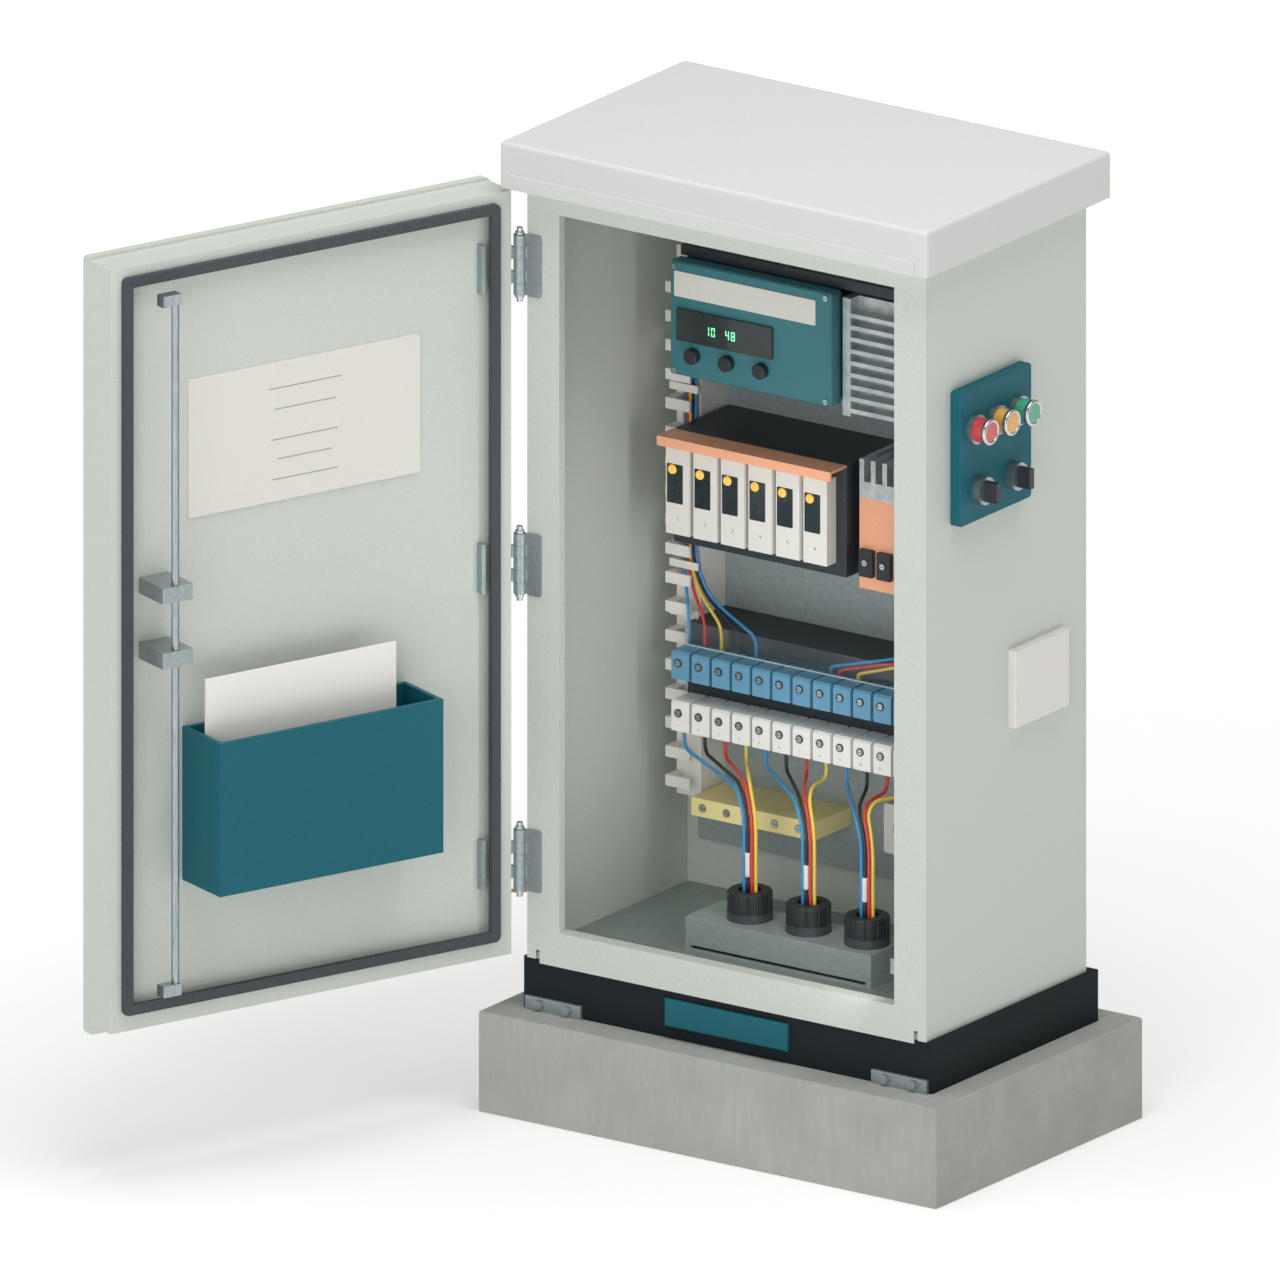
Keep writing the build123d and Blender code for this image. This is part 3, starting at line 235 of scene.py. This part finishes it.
def plated_steel(name, low="#AEB5B9", high="#D2D7DA", stretch=(1, 1, 0.05), rough=0.28):
    """Zinc-plated steel: bright and slightly streaked along its length by drawing."""
    material, tree, shader, coords = new_finish(name)
    colour = mottle(tree, coords, low, high, 900.0, 2.0, (0.3, 0.7), stretch)
    tree.links.new(colour.outputs["Color"], shader.inputs["Base Color"])
    shader.inputs["Metallic"].default_value = 0.9
    shader.inputs["Roughness"].default_value = rough
    grain(tree, coords, shader, 900.0, 0.08, 0.0002, 2.0, stretch)
    return material


def foam_rubber(name):
    """Closed-cell rubber: matt charcoal with cells about 1 mm wide."""
    material, tree, shader, coords = new_finish(name)
    colour = mottle(tree, coords, "#40464A", "#4B5155", 500.0)
    tree.links.new(colour.outputs["Color"], shader.inputs["Base Color"])
    shader.inputs["Roughness"].default_value = 0.8
    grain(tree, coords, shader, 1000.0, 0.3, 0.0004)
    return material


def clear_acrylic(name):
    """Clear acrylic sheet: nearly colourless, with a faint moulding haze."""
    material, tree, shader, coords = new_finish(name)
    shader.inputs["Base Color"].default_value = linear("#E4ECEC")
    shader.inputs["Roughness"].default_value = 0.08
    shader.inputs["IOR"].default_value = 1.49
    shader.inputs["Transmission Weight"].default_value = 0.9
    shader.inputs["Alpha"].default_value = 0.22
    grain(tree, coords, shader, 120.0, 0.03)
    return material


def tinted_window(name, low, high):
    """Dark tinted acrylic: glossy, with a trace of haze."""
    material, tree, shader, coords = new_finish(name)
    colour = mottle(tree, coords, low, high, 80.0)
    tree.links.new(colour.outputs["Color"], shader.inputs["Base Color"])
    shader.inputs["Roughness"].default_value = 0.18
    shader.inputs["Coat Weight"].default_value = 0.5
    grain(tree, coords, shader, 700.0, 0.03, 0.0001)
    return material


def signal_lens(name, low, high, glow=0.15):
    """Moulded polycarbonate lens: deep saturated colour with rings of prisms 2 mm apart."""
    material, tree, shader, coords = new_finish(name)
    colour = mottle(tree, coords, low, high, 120.0)
    tree.links.new(colour.outputs["Color"], shader.inputs["Base Color"])
    tree.links.new(colour.outputs["Color"], shader.inputs["Emission Color"])
    shader.inputs["Emission Strength"].default_value = glow
    shader.inputs["Roughness"].default_value = 0.2
    shader.inputs["Coat Weight"].default_value = 0.6
    grain(tree, coords, shader, 500.0, 0.1, 0.0003)
    return material


def flexible_pvc(name, low, high):
    """PVC wire insulation: smooth, slightly waxy, with faint drawing marks."""
    material, tree, shader, coords = new_finish(name)
    colour = mottle(tree, coords, low, high, 90.0)
    tree.links.new(colour.outputs["Color"], shader.inputs["Base Color"])
    shader.inputs["Roughness"].default_value = 0.38
    grain(tree, coords, shader, 900.0, 0.08, 0.0002)
    return material


def card_stock(name, low, high):
    """Uncoated card: warm white with short fibres about 1 mm long."""
    material, tree, shader, coords = new_finish(name)
    colour = mottle(tree, coords, low, high, 600.0, 5.0, (0.3, 0.7), (1, 1, 0.4))
    tree.links.new(colour.outputs["Color"], shader.inputs["Base Color"])
    shader.inputs["Roughness"].default_value = 0.75
    grain(tree, coords, shader, 900.0, 0.12, 0.0002)
    return material


def printed_ink(name, code, rough=0.55):
    """Screen-printed ink: flat, with a faint grain from the mesh."""
    material, tree, shader, coords = new_finish(name)
    colour = mottle(tree, coords, code, code, 300.0)
    tree.links.new(colour.outputs["Color"], shader.inputs["Base Color"])
    shader.inputs["Roughness"].default_value = rough
    grain(tree, coords, shader, 1500.0, 0.05, 0.0001)
    return material


def lit_segment(name, code, strength):
    """A lit display segment: even green light behind a diffuser."""
    material, tree, shader, coords = new_finish(name)
    colour = mottle(tree, coords, code, code, 300.0)
    tree.links.new(colour.outputs["Color"], shader.inputs["Base Color"])
    tree.links.new(colour.outputs["Color"], shader.inputs["Emission Color"])
    shader.inputs["Emission Strength"].default_value = strength
    return material


# Meshes

def make_piece(name, points, faces, material, body, replaced=(), slot=None, smooth=False):
    """A mesh piece from points in millimetres and faces, riding on a body if one is named."""
    mesh = bpy.data.meshes.new(name)
    mesh.from_pydata((np.asarray(points).reshape(-1, 3) * MM).tolist(), [], faces)
    mesh.validate()
    mesh.update()
    if smooth:
        mesh.polygons.foreach_set("use_smooth", [True] * len(mesh.polygons))
    piece = bpy.data.objects.new(name, mesh)
    bpy.context.scene.collection.objects.link(piece)
    mesh.materials.append(material)
    if body:
        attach(piece, body)
    if replaced:
        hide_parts(*replaced)
    return piece


def ring_faces(rows, around, looped=False):
    """Quads between neighbouring rows of closed rings; looped rows close on the first, others are capped."""
    row = np.arange(rows if looped else rows - 1)[:, None]
    step = np.arange(around)[None, :]
    following, turned = (row + 1) % rows, (step + 1) % around
    quads = np.stack(np.broadcast_arrays(row * around + step, row * around + turned,
                                         following * around + turned, following * around + step), axis=-1)
    faces = quads.reshape(-1, 4).tolist()
    if not looped:
        faces += [list(range(around))[::-1], list(range((rows - 1) * around, rows * around))]
    return faces


def plate_grid(place, across, back, front, up, corner, ease=0.3, turn_points=5):
    """A plate with rounded corners and an eased front edge, from its back to its front face.

    At angle a its outline is the corner's centre plus (r - i) (cos a, sin a). The inset i and the depth
    follow the edge from the back: i = 0 up to the ease e, then i = e (1 - cos b), depth = e (1 - sin b).
    """
    outwards = math.copysign(1, front - back)
    corner_x, corner_z = np.array([1, -1, -1, 1]), np.array([1, 1, -1, -1])
    angle = (np.arange(4)[:, None] * 90 + np.linspace(0, 90, turn_points)[None, :]).ravel()
    bend = np.radians([0, 0, 30, 60, 90])
    inset = ease * (1 - np.cos(bend))
    depth = front - outwards * ease * (1 - np.sin(bend))
    depth[0] = back
    radius = corner - inset[:, None]
    x = (sum(across) / 2 + np.repeat(corner_x, turn_points) * ((across[1] - across[0]) / 2 - corner)
         + radius * np.cos(np.radians(angle)))
    z = (sum(up) / 2 + np.repeat(corner_z, turn_points) * ((up[1] - up[0]) / 2 - corner)
         + radius * np.sin(np.radians(angle)))
    points = place(x, np.broadcast_to(depth[:, None], x.shape), z)
    if outwards > 0:
        points = points[:, ::-1]
    return points.reshape(-1, 3), ring_faces(*x.shape)


def joined(blocks):
    """Points and faces of several shapes as one mesh's."""
    points, faces, start = [], [], 0
    for shape_points, shape_faces in blocks:
        points.append(np.asarray(shape_points).reshape(-1, 3))
        faces.extend(tuple(index + start for index in face) for face in shape_faces)
        start += len(points[-1])
    return np.concatenate(points), faces


def tube_grid(path, radius, around=16):
    """A round tube: each path point carries a circle, centre + r (cos a side + sin a up), capped."""
    path = np.asarray(path, float)
    radius = np.broadcast_to(np.asarray(radius, float), len(path))
    along = np.gradient(path, axis=0)
    along /= np.linalg.norm(along, axis=1, keepdims=True)
    reference = np.array([0.31, -0.87, 0.38])
    side = np.cross(along, reference)
    side /= np.linalg.norm(side, axis=1, keepdims=True)
    up = np.cross(along, side)
    angle = np.linspace(0, 2 * np.pi, around, endpoint=False)[None, :, None]
    ring = np.cos(angle) * side[:, None, :] + np.sin(angle) * up[:, None, :]
    points = path[:, None, :] + radius[:, None, None] * ring
    return points.reshape(-1, 3), ring_faces(len(path), around)


def lathe_grid(profile, place, around=20):
    """A closed profile turned about an axis: its point (r, d) goes to (r cos a, d, r sin a), then to its place."""
    profile = np.asarray(profile, float)
    angle = np.linspace(0, 2 * np.pi, around, endpoint=False)
    radius = profile[:, :1]
    points = place(radius * np.cos(angle), profile[:, 1:], radius * np.sin(angle))
    return points.reshape(-1, 3), ring_faces(len(profile), around, looped=True)


def bezier(points, steps):
    """A Bezier curve of any degree: the sum of binomial(n, k) (1 - s)^(n - k) s^k point_k."""
    points = np.asarray(points, float)
    degree = len(points) - 1
    s = np.linspace(0, 1, steps)[:, None]
    weights = np.concatenate([math.comb(degree, k) * (1 - s) ** (degree - k) * s ** k
                              for k in range(degree + 1)], axis=1)
    return weights @ points


def segment_bars(figure, centre_x, face_y, centre_z, width=5.6, height=11.5, bar=1.3):
    """A seven-segment figure: one thin round-ended bar for each segment that the figure lights."""
    lit = {"0": "abcdef", "1": "bc", "4": "bcfg", "8": "abcdefg"}[figure]
    across, half, thin = width / 2, height / 2, bar / 2
    spans = {"a": ((-across, across), (half - bar, half)), "b": ((across - bar, across), (thin, half)),
             "c": ((across - bar, across), (-half, -thin)), "d": ((-across, across), (-half, -half + bar)),
             "e": ((-across, -across + bar), (-half, -thin)), "f": ((-across, -across + bar), (thin, half)),
             "g": ((-across, across), (-thin, thin))}
    bars = []
    for name in lit:
        across_span, up_span = np.array(spans[name]) + [[centre_x], [centre_z]]
        bars.append(plate_grid(plain_place, across_span, face_y + 0.1, face_y - 0.25, up_span, 0.62, 0.12))
    return joined(bars)


def digits_mesh(words, height, place_one, thickness=0.2):
    """Plain figures: the letter outlines raised by a thickness, each vertex (u, v, w) sent to its place."""
    curve = bpy.data.curves.new("figures", "FONT")
    curve.body = words
    curve.size = height * 1.38
    curve.align_x = "CENTER"
    curve.align_y = "CENTER"
    curve.extrude = thickness
    curve.resolution_u = 3
    made = bpy.data.objects.new("figures", curve)
    bpy.context.scene.collection.objects.link(made)
    bpy.context.view_layer.update()
    mesh = bpy.data.meshes.new_from_object(made.evaluated_get(bpy.context.evaluated_depsgraph_get()))
    shell = bmesh.new()
    shell.from_mesh(mesh)
    bmesh.ops.remove_doubles(shell, verts=shell.verts, dist=0.002)
    bmesh.ops.recalc_face_normals(shell, faces=shell.faces)
    shell.verts.index_update()
    u, v, w = np.array([vertex.co[:] for vertex in shell.verts]).T
    points = place_one(u, w, v)
    faces = [[vertex.index for vertex in face.verts] for face in shell.faces]
    shell.free()
    bpy.data.objects.remove(made)
    bpy.data.curves.remove(curve)
    bpy.data.meshes.remove(mesh)
    return points, faces


# Settings that a user would change

class CabinetColours(bpy.types.PropertyGroup):
    """Colours of the cabinet's paints, as sRGB hex values."""
    paint_low: bpy.props.StringProperty(
        name="Paint shade", description="Darker tone of the body's paint", default="#C9CFC7")
    paint_high: bpy.props.StringProperty(
        name="Paint tint", description="Lighter tone of the body's paint", default="#D0D6CE")
    teal: bpy.props.StringProperty(
        name="Teal", description="Colour of the teal panels", default="#17606D")
    orange: bpy.props.StringProperty(
        name="Orange", description="Colour of the orange strip and cover", default="#F5AE88")


class CabinetCamera(bpy.types.PropertyGroup):
    """The camera of the reference view."""
    azimuth: bpy.props.FloatProperty(
        name="Azimuth", description="Turn of the view about +Z, in degrees", default=34.84)
    elevation: bpy.props.FloatProperty(
        name="Elevation", description="Height of the view above level, in degrees", default=17.98)
    width: bpy.props.FloatProperty(
        name="Width", description="Width of the square view", default=1.606, unit="LENGTH")
    across: bpy.props.FloatProperty(
        name="Across", description="Centre of the view along its right", default=-0.2139, unit="LENGTH")
    up: bpy.props.FloatProperty(
        name="Up", description="Centre of the view along its up", default=0.5949, unit="LENGTH")


# Operators

class CABINET_OT_paint(bpy.types.Operator):
    """Give every carried-over node the finish of the real piece"""
    bl_idname = "cabinet.paint"
    bl_label = "Paint nodes"

    def execute(self, context):
        colours = context.scene.cabinet_colours
        paint = powder_coat("light_grey_powder_coat", colours.paint_low, colours.paint_high, 0.48)
        charcoal = powder_coat("charcoal_powder_coat", "#262D33", "#2E363C", 0.45)
        teal = powder_coat("teal_powder_coat", colours.teal, "#1C6775", 0.5, gloss=0.2)
        orange = powder_coat("orange_powder_coat", colours.orange, "#F8B592", 0.45)
        zinc = galvanised_sheet("galvanised_sheet")
        black = moulded_plastic("black_abs", "#24292C", "#2C3134", 0.45)
        cream = moulded_plastic("cream_abs", "#E2DFD8", "#E8E6DF", 0.45)
        steel = plated_steel("zinc_plated_steel")
        aluminium = cast_aluminium("cast_aluminium")
        finishes = {
            paint: ("cabinet_body", "door_panel"),
            # The roof's paint is lighter than the body's: the extra lightness is painted light from above
            powder_coat("roof_painted_light_powder_coat", "#D3D5D2", "#D8DAD7", 0.5): ("roof",),
            # The base frame's charcoal is darker than the other charcoal paint: the extra darkness is painted shade
            # low down
            powder_coat("base_charcoal_painted_shade_coat", "#171F23", "#1D2529", 0.7, gloss=0.2):
                ("base_frame",),
            charcoal: ("top_tray", "rack_case", "terminal_trunk", "controller_case"),
            teal: ("name_plate", "document_pocket", "control_panel"),
            powder_coat("satin_teal_powder_coat", "#36767F", "#3C7C86", 0.42): ("controller_face",),
            orange: ("rack_strip", "power_supply_cover"),
            zinc: ("base_fixings", "body_hinge_leaves", "door_hinge_leaves", "rod_keeper", "lock_case",
                   "rod_guide"),
            galvanised_sheet("bright_galvanised_tray", "#ACB8B7", "#BBC6C5", 0.4, 0.4): ("gland_box",),
            galvanised_sheet("galvanised_floor_sheet", "#929E9A", "#A2ADA9", 0.42, 0.4): ("floor_plate",),
            black: ("power_terminals", "gland_nuts", "controller_key_1", "controller_key_2",
                    "controller_key_3", "selector_left", "selector_right", "door_handle"),
            cream: ("relay_modules", "wire_duct", "id_plate", "socket_outlet"),
            steel: ("steel_screws", "hinge_pins", "latch_pinion"),
            plated_steel("turned_steel_bezel", "#8F979B", "#B5BCC0", (1, 1, 1), 0.35):
                ("panel_bezels",),
            plated_steel("drawn_zinc_plated_rod", "#8B9599", "#B4BCC0"): ("lock_rod",),
            aluminium: ("fin_unit", "power_supply_body"),
            galvanised_sheet("mill_finish_panel", "#9AA6A7", "#AAB5B6", 0.5, 0.4): ("mounting_panel",),
            cast_concrete("cast_concrete"): ("concrete_plinth",),
            moulded_plastic("dark_grey_abs", "#3B4144", "#44494C"): ("gland_bodies",),
            moulded_plastic("blue_polyamide", "#5C95B4", "#689EBB"): ("terminals_blue",),
            moulded_plastic("white_polyamide", "#E9E8E4", "#F0EFEB"): ("terminals_white",),
            powder_coat("yellow_enamel", "#FBE9A0", "#FFEFAC", 0.4): ("earth_bar",),
            foam_rubber("foam_rubber"): ("door_gasket",),
            clear_acrylic("clear_acrylic"): ("clear_shield",),
            tinted_window("smoked_acrylic", "#2F3638", "#363D3F"): ("controller_display",),
            signal_lens("red_lens", "#C43A3C", "#D04A4A", 0.05): ("lamp_red",),
            signal_lens("amber_lens", "#DE9F3C", "#E6AC4C", 0.05): ("lamp_amber",),
            signal_lens("green_lens", "#3A9C78", "#4BAA86", 0.05): ("lamp_green",),
            signal_lens("amber_led", "#F0AE3E", "#F5BC55", 0.5): ("relay_lamps",),
            card_stock("service_card_stock", "#F1EFE8", "#F6F4EE"): ("service_card",),
            flexible_pvc("blue_pvc", "#2F8CC6", "#3C96CC"): ("wires_blue",),
            flexible_pvc("black_pvc", "#22262A", "#2A2F33"): ("wires_black",),
            flexible_pvc("red_pvc", "#D2322C", "#DA4039"): ("wires_red",),
            flexible_pvc("yellow_pvc", "#E9C83F", "#EFD04C"): ("wires_yellow",),
        }
        for material, names in finishes.items():
            for name in names:
                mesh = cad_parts[name].data
                mesh.materials.clear()
                mesh.materials.append(material)
        return {"FINISHED"}


class CABINET_OT_labels(bpy.types.Operator):
    """Add the blank label plates, their ruled lines and the card's lines"""
    bl_idname = "cabinet.labels"
    bl_label = "Labels and lines"

    def execute(self, context):
        plate = moulded_plastic("engraved_laminate", "#E0DDD5", "#E5E3DB", 0.5)
        ink = printed_ink("grey_ink", "#A2A4A0")
        door_plate = plate_grid(door_place, (141.5, 489.3), -13.2, -10.5, (861.5, 1044.3), 4.0, 0.6)
        make_piece("door_label_plate", *door_plate, plate, "door", slot="cream_plastic")
        # Each line's level and half its length
        label_lines = [(1010.5, 54), (983, 46), (943, 50), (917, 41), (890.5, 49)]
        card_lines = [(636, 50), (612, 24)]
        strokes = [plate_grid(door_place, (LABEL_LINES_CENTRE - half, LABEL_LINES_CENTRE + half), -10.6, -10.2,
                              (z - 0.7, z + 0.7), 0.65, 0.2) for z, half in label_lines]
        strokes += [plate_grid(door_place, (CARD_LINES_CENTRE - half, CARD_LINES_CENTRE + half), 25.6, 26.1,
                               (z - 0.9, z + 0.9), 0.85, 0.2) for z, half in card_lines]
        make_piece("ruled_lines", *joined(strokes), ink, "door", slot="black_plastic")
        label = plate_grid(plain_place, (-215, 1), 10.1, 9.0, (1037.5, 1071), 2.0, 0.4)
        make_piece("controller_label", *label, plate, "cabinet", slot="cream_plastic")
        return {"FINISHED"}


class CABINET_OT_figures(bpy.types.Operator):
    """Add plain figures: the display, the module numbers and the terminal numbers"""
    bl_idname = "cabinet.figures"
    bl_label = "Figures"

    def execute(self, context):
        green = lit_segment("green_segments", "#6FE0A0", 1.6)
        ink = printed_ink("mid_grey_ink", "#8C9192")

        def front_at(centre_x, face_y, centre_z):
            """Places figures on a front face: (u, w, v) across, out of and up the face."""
            return lambda u, w, v: plain_place(centre_x + u, face_y - w, centre_z + v)

        shown = [segment_bars(figure, centre_x, DISPLAY_FACE, DISPLAY_LEVEL)
                 for figure, centre_x in zip("1048", DISPLAY_CENTRES)]
        make_piece("display_figures", *joined(shown), green, "cabinet", slot="green_lens")
        module_marks = [digits_mesh(str(number + 1), 5,
                                    front_at(MODULE_FIRST + MODULE_PITCH * number, -0.1, MODULE_NUMBER_LEVEL))
                        for number in range(MODULE_COUNT)]
        make_piece("module_numbers", *joined(module_marks), ink, "cabinet", slot="black_plastic")
        terminal_marks = []
        for number in range(TERMINAL_COUNT):
            centre_x = TERMINAL_FIRST + TERMINAL_PITCH * number
            for level in (BLUE_NUMBER_LEVEL, WHITE_NUMBER_LEVEL):
                place = front_at(centre_x, TERMINAL_FACE, level)
                terminal_marks.append(digits_mesh(str(number + 1), 3.4, place))
        make_piece("terminal_numbers", *joined(terminal_marks), ink, "cabinet", slot="black_plastic")
        return {"FINISHED"}


class CABINET_OT_windows(bpy.types.Operator):
    """Add the dark windows of the relay modules"""
    bl_idname = "cabinet.windows"
    bl_label = "Relay windows"

    def execute(self, context):
        tint = tinted_window("tinted_polycarbonate", "#1E2A2E", "#26343A")
        centres = [MODULE_FIRST + MODULE_PITCH * number for number in range(MODULE_COUNT)]
        panes = [plate_grid(plain_place, (centre + WINDOW_LEFT, centre + WINDOW_RIGHT), 0.1, -0.8, (767.5, 819),
                            1.5, 0.4) for centre in centres]
        make_piece("relay_windows", *joined(panes), tint, "cabinet", slot="display_glass")
        return {"FINISHED"}


class CABINET_OT_screw_shade_and_glint(bpy.types.Operator):
    """Add dark rings of painted shade round the terminal screws and a pale strip of painted glint along the clear
    shield's bottom edge
    """
    bl_idname = "cabinet.collars"
    bl_label = "Screw collars and shield foot"

    def execute(self, context):
        # Dark rings round the terminal screws: painted shade of the screw wells, not a real part
        black = moulded_plastic("screw_well_painted_shade", "#2B3033", "#33383B")
        profile = [(3.7, 18.2), (5.4, 18.2), (5.4, 16.7), (5.1, 16.3), (4.0, 16.3), (3.7, 16.7)]
        centres = [TERMINAL_FIRST + TERMINAL_PITCH * number for number in range(TERMINAL_COUNT)]
        collars = [lathe_grid(profile, lambda u, d, v: plain_place(centre + u, d, level + v))
                   for centre in centres for level in (BLUE_SCREW_LEVEL, WHITE_SCREW_LEVEL)]
        make_piece("screw_well_shade_rings", *joined(collars), black, "cabinet", slot="black_plastic")
        # A pale strip along the shield's bottom edge: a painted glint of the edge catching light, not frosted
        # acrylic
        glint_finish = moulded_plastic("shield_edge_painted_glint", "#C9D6D8", "#D6E1E2", 0.3)
        glint_strip = plate_grid(plain_place, (-225.2, 141), 46.0, 45.4, (565.6, 567.4), 0.8, 0.2)
        make_piece("shield_edge_glint_strip", *glint_strip, glint_finish, "cabinet", slot="clear")
        return {"FINISHED"}


class CABINET_OT_lamp_rims(bpy.types.Operator):
    """Add the bright rim round the front edge of each signal lamp"""
    bl_idname = "cabinet.lamp_rims"
    bl_label = "Lamp rims"

    def execute(self, context):
        chrome = plated_steel("chromed_rim", "#B9BFC2", "#D8DCDE", (1, 1, 1), 0.2)
        profile = [(15.9, 341.0), (17.0, 341.0), (17.0, 345.2), (16.2, 346.8), (14.0, 347.2), (13.0, 346.4),
                   (13.0, 345.5), (15.0, 344.0)]
        centres = [SIDE_LAMP_FIRST + SIDE_LAMP_PITCH * number for number in range(3)]
        rims = [lathe_grid(profile, lambda u, d, v: plain_place(d, centre + u, SIDE_LAMP_LEVEL + v), 32)
                for centre in centres]
        make_piece("lamp_rims", *joined(rims), chrome, "cabinet", slot="steel", smooth=True)
        return {"FINISHED"}


class CABINET_OT_sleeves(bpy.types.Operator):
    """Add the shrunk marker sleeve, a little waisted, on one wire of each loom"""
    bl_idname = "cabinet.sleeves"
    bl_label = "Marker sleeves"

    def execute(self, context):
        white = moulded_plastic("white_sleeve", "#E8E6E0", "#EFEDE8", 0.5)
        level = np.array([306, 306.8, 310, 316, 322, 328, 334, 337.2, 338])
        radius = np.array([2.9, 3.5, 3.65, 3.5, 3.42, 3.5, 3.65, 3.5, 2.9])
        sleeves = [tube_grid(plain_place(LOOM_FIRST + LOOM_PITCH * loom, LOOM_Y, level), radius)
                   for loom in range(LOOM_COUNT)]
        make_piece("marker_sleeves", *joined(sleeves), white, "cabinet", slot="cream_plastic", smooth=True)
        return {"FINISHED"}


class CABINET_OT_earth_lead(bpy.types.Operator):
    """Add the earth lead, a curved tube from the door to the cabinet"""
    bl_idname = "cabinet.earth_lead"
    bl_label = "Earth lead"

    def execute(self, context):
        yellow = flexible_pvc("yellow_lead_pvc", "#E3BE3A", "#EAC748")
        route = [door_place(10.2, -20, EARTH_LEVEL), door_place(-2, -20, EARTH_LEVEL), (-321, -168, EARTH_LEVEL - 6),
                 (-315, -164, EARTH_LEVEL), (-305.3, -164, EARTH_LEVEL)]
        lead = tube_grid(bezier(route, 40), EARTH_RADIUS)
        piece = make_piece("earth_lead_soft", *lead, yellow, None, ("earth_lead",), "wire_yellow", True)
        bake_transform(piece)
        return {"FINISHED"}


class CABINET_OT_stage(bpy.types.Operator):
    """Add the camera, the soft lights and the pale floor"""
    bl_idname = "cabinet.stage"
    bl_label = "Stage"

    def execute(self, context):
        scene = context.scene
        aim = scene.cabinet_camera
        azimuth, elevation = math.radians(aim.azimuth), math.radians(aim.elevation)
        right = Vector((math.cos(azimuth), math.sin(azimuth), 0))
        forward = Vector((-math.sin(azimuth) * math.cos(elevation), math.cos(azimuth) * math.cos(elevation),
                          -math.sin(elevation)))
        upward = right.cross(forward)
        camera_data = bpy.data.cameras.new("view")
        camera_data.type = "ORTHO"
        camera_data.ortho_scale = aim.width
        camera_data.clip_end = 50
        camera = bpy.data.objects.new("view", camera_data)
        scene.collection.objects.link(camera)
        turn = Matrix((right, upward, -forward)).transposed().to_4x4()
        place = right * aim.across + upward * aim.up - forward * 4.0
        camera.matrix_world = Matrix.Translation(place) @ turn
        scene.camera = camera

        floor_material, tree, shader, coords = new_finish("pale_floor")
        shade = mottle(tree, coords, "#F4F4F3", "#F6F6F5", 2.0)
        tree.links.new(shade.outputs["Color"], shader.inputs["Base Color"])
        tree.links.new(shade.outputs["Color"], shader.inputs["Emission Color"])
        distance = add_node(tree, "ShaderNodeVectorMath", {"operation": "LENGTH"}, {0: (coords, "Object")})
        sweep = add_node(tree, "ShaderNodeMapRange",
                         {"From Min": 0.7, "From Max": 4.2, "To Min": 0.3, "To Max": 0.85},
                         {"Value": (distance, "Value")})
        tree.links.new(sweep.outputs["Result"], shader.inputs["Emission Strength"])
        shader.inputs["Roughness"].default_value = 0.9
        half_side, below = 14.0, -0.0005
        mesh = bpy.data.meshes.new("floor")
        mesh.from_pydata([(-half_side, -half_side, below), (half_side, -half_side, below),
                          (half_side, half_side, below), (-half_side, half_side, below)], [], [(0, 1, 2, 3)])
        mesh.materials.append(floor_material)
        floor = bpy.data.objects.new("floor", mesh)
        scene.collection.objects.link(floor)

        middle, left_wall = Vector((0, 0, 0.6)), Vector((-0.28, -0.06, 0.55))
        # Name, place, target, sides in metres, watts and spread in degrees
        lamps = (("key", (1.9, -8.0, 2.7), middle, (4.2, 4.2), 160.0, 180),
                 ("top", (0.5, -0.5, 4.4), middle, (3.2, 3.2), 118.0, 180),
                 ("fill", (0.2, -0.19, 0.6), left_wall, (0.06, 0.7), 0.4, 120))
        for name, spot, target, sides, power, spread in lamps:
            light = bpy.data.lights.new(name, "AREA")
            light.shape = "RECTANGLE"
            light.size, light.size_y = sides
            light.energy = power
            light.spread = math.radians(spread)
            lamp = bpy.data.objects.new(name, light)
            scene.collection.objects.link(lamp)
            lamp.location = spot
            lamp.rotation_mode = "QUATERNION"
            lamp.rotation_quaternion = (Vector(spot) - target).to_track_quat("Z", "Y")
            lamp.visible_camera = False
        world = bpy.data.worlds.new("studio")
        scene.world = world
        world.use_nodes = True
        background = world.node_tree.nodes["Background"]
        background.inputs["Color"].default_value = (1, 1, 1, 1)
        background.inputs["Strength"].default_value = 0.27
        scene.view_settings.view_transform = "Standard"
        return {"FINISHED"}


class CABINET_PT_panel(bpy.types.Panel):
    """Lists the cabinet's operators and settings"""
    bl_idname = "CABINET_PT_panel"
    bl_label = "Cabinet"
    bl_space_type = "VIEW_3D"
    bl_region_type = "UI"
    bl_category = "Cabinet"

    def draw(self, context):
        for operator in OPERATORS:
            self.layout.operator(operator.bl_idname)
        for field in ("paint_low", "paint_high", "teal", "orange"):
            self.layout.prop(context.scene.cabinet_colours, field)


OPERATORS = (CABINET_OT_stage, CABINET_OT_earth_lead, CABINET_OT_paint, CABINET_OT_labels,
             CABINET_OT_figures, CABINET_OT_windows, CABINET_OT_screw_shade_and_glint, CABINET_OT_lamp_rims, CABINET_OT_sleeves)
CLASSES = (CabinetColours, CabinetCamera, *OPERATORS, CABINET_PT_panel)


def register():
    """Register the classes and hang the settings on the scene."""
    for item in CLASSES:
        bpy.utils.register_class(item)
    bpy.types.Scene.cabinet_colours = bpy.props.PointerProperty(type=CabinetColours)
    bpy.types.Scene.cabinet_camera = bpy.props.PointerProperty(type=CabinetCamera)


def unregister():
    """Take the settings and the classes away again."""
    del bpy.types.Scene.cabinet_camera
    del bpy.types.Scene.cabinet_colours
    for item in reversed(CLASSES):
        bpy.utils.unregister_class(item)


def main():
    """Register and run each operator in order."""
    register()
    bpy.ops.cabinet.stage()
    bpy.ops.cabinet.earth_lead()
    bpy.ops.cabinet.paint()
    bpy.ops.cabinet.labels()
    bpy.ops.cabinet.figures()
    bpy.ops.cabinet.windows()
    bpy.ops.cabinet.collars()
    bpy.ops.cabinet.lamp_rims()
    bpy.ops.cabinet.sleeves()


if __name__ == "__main__":
    main()
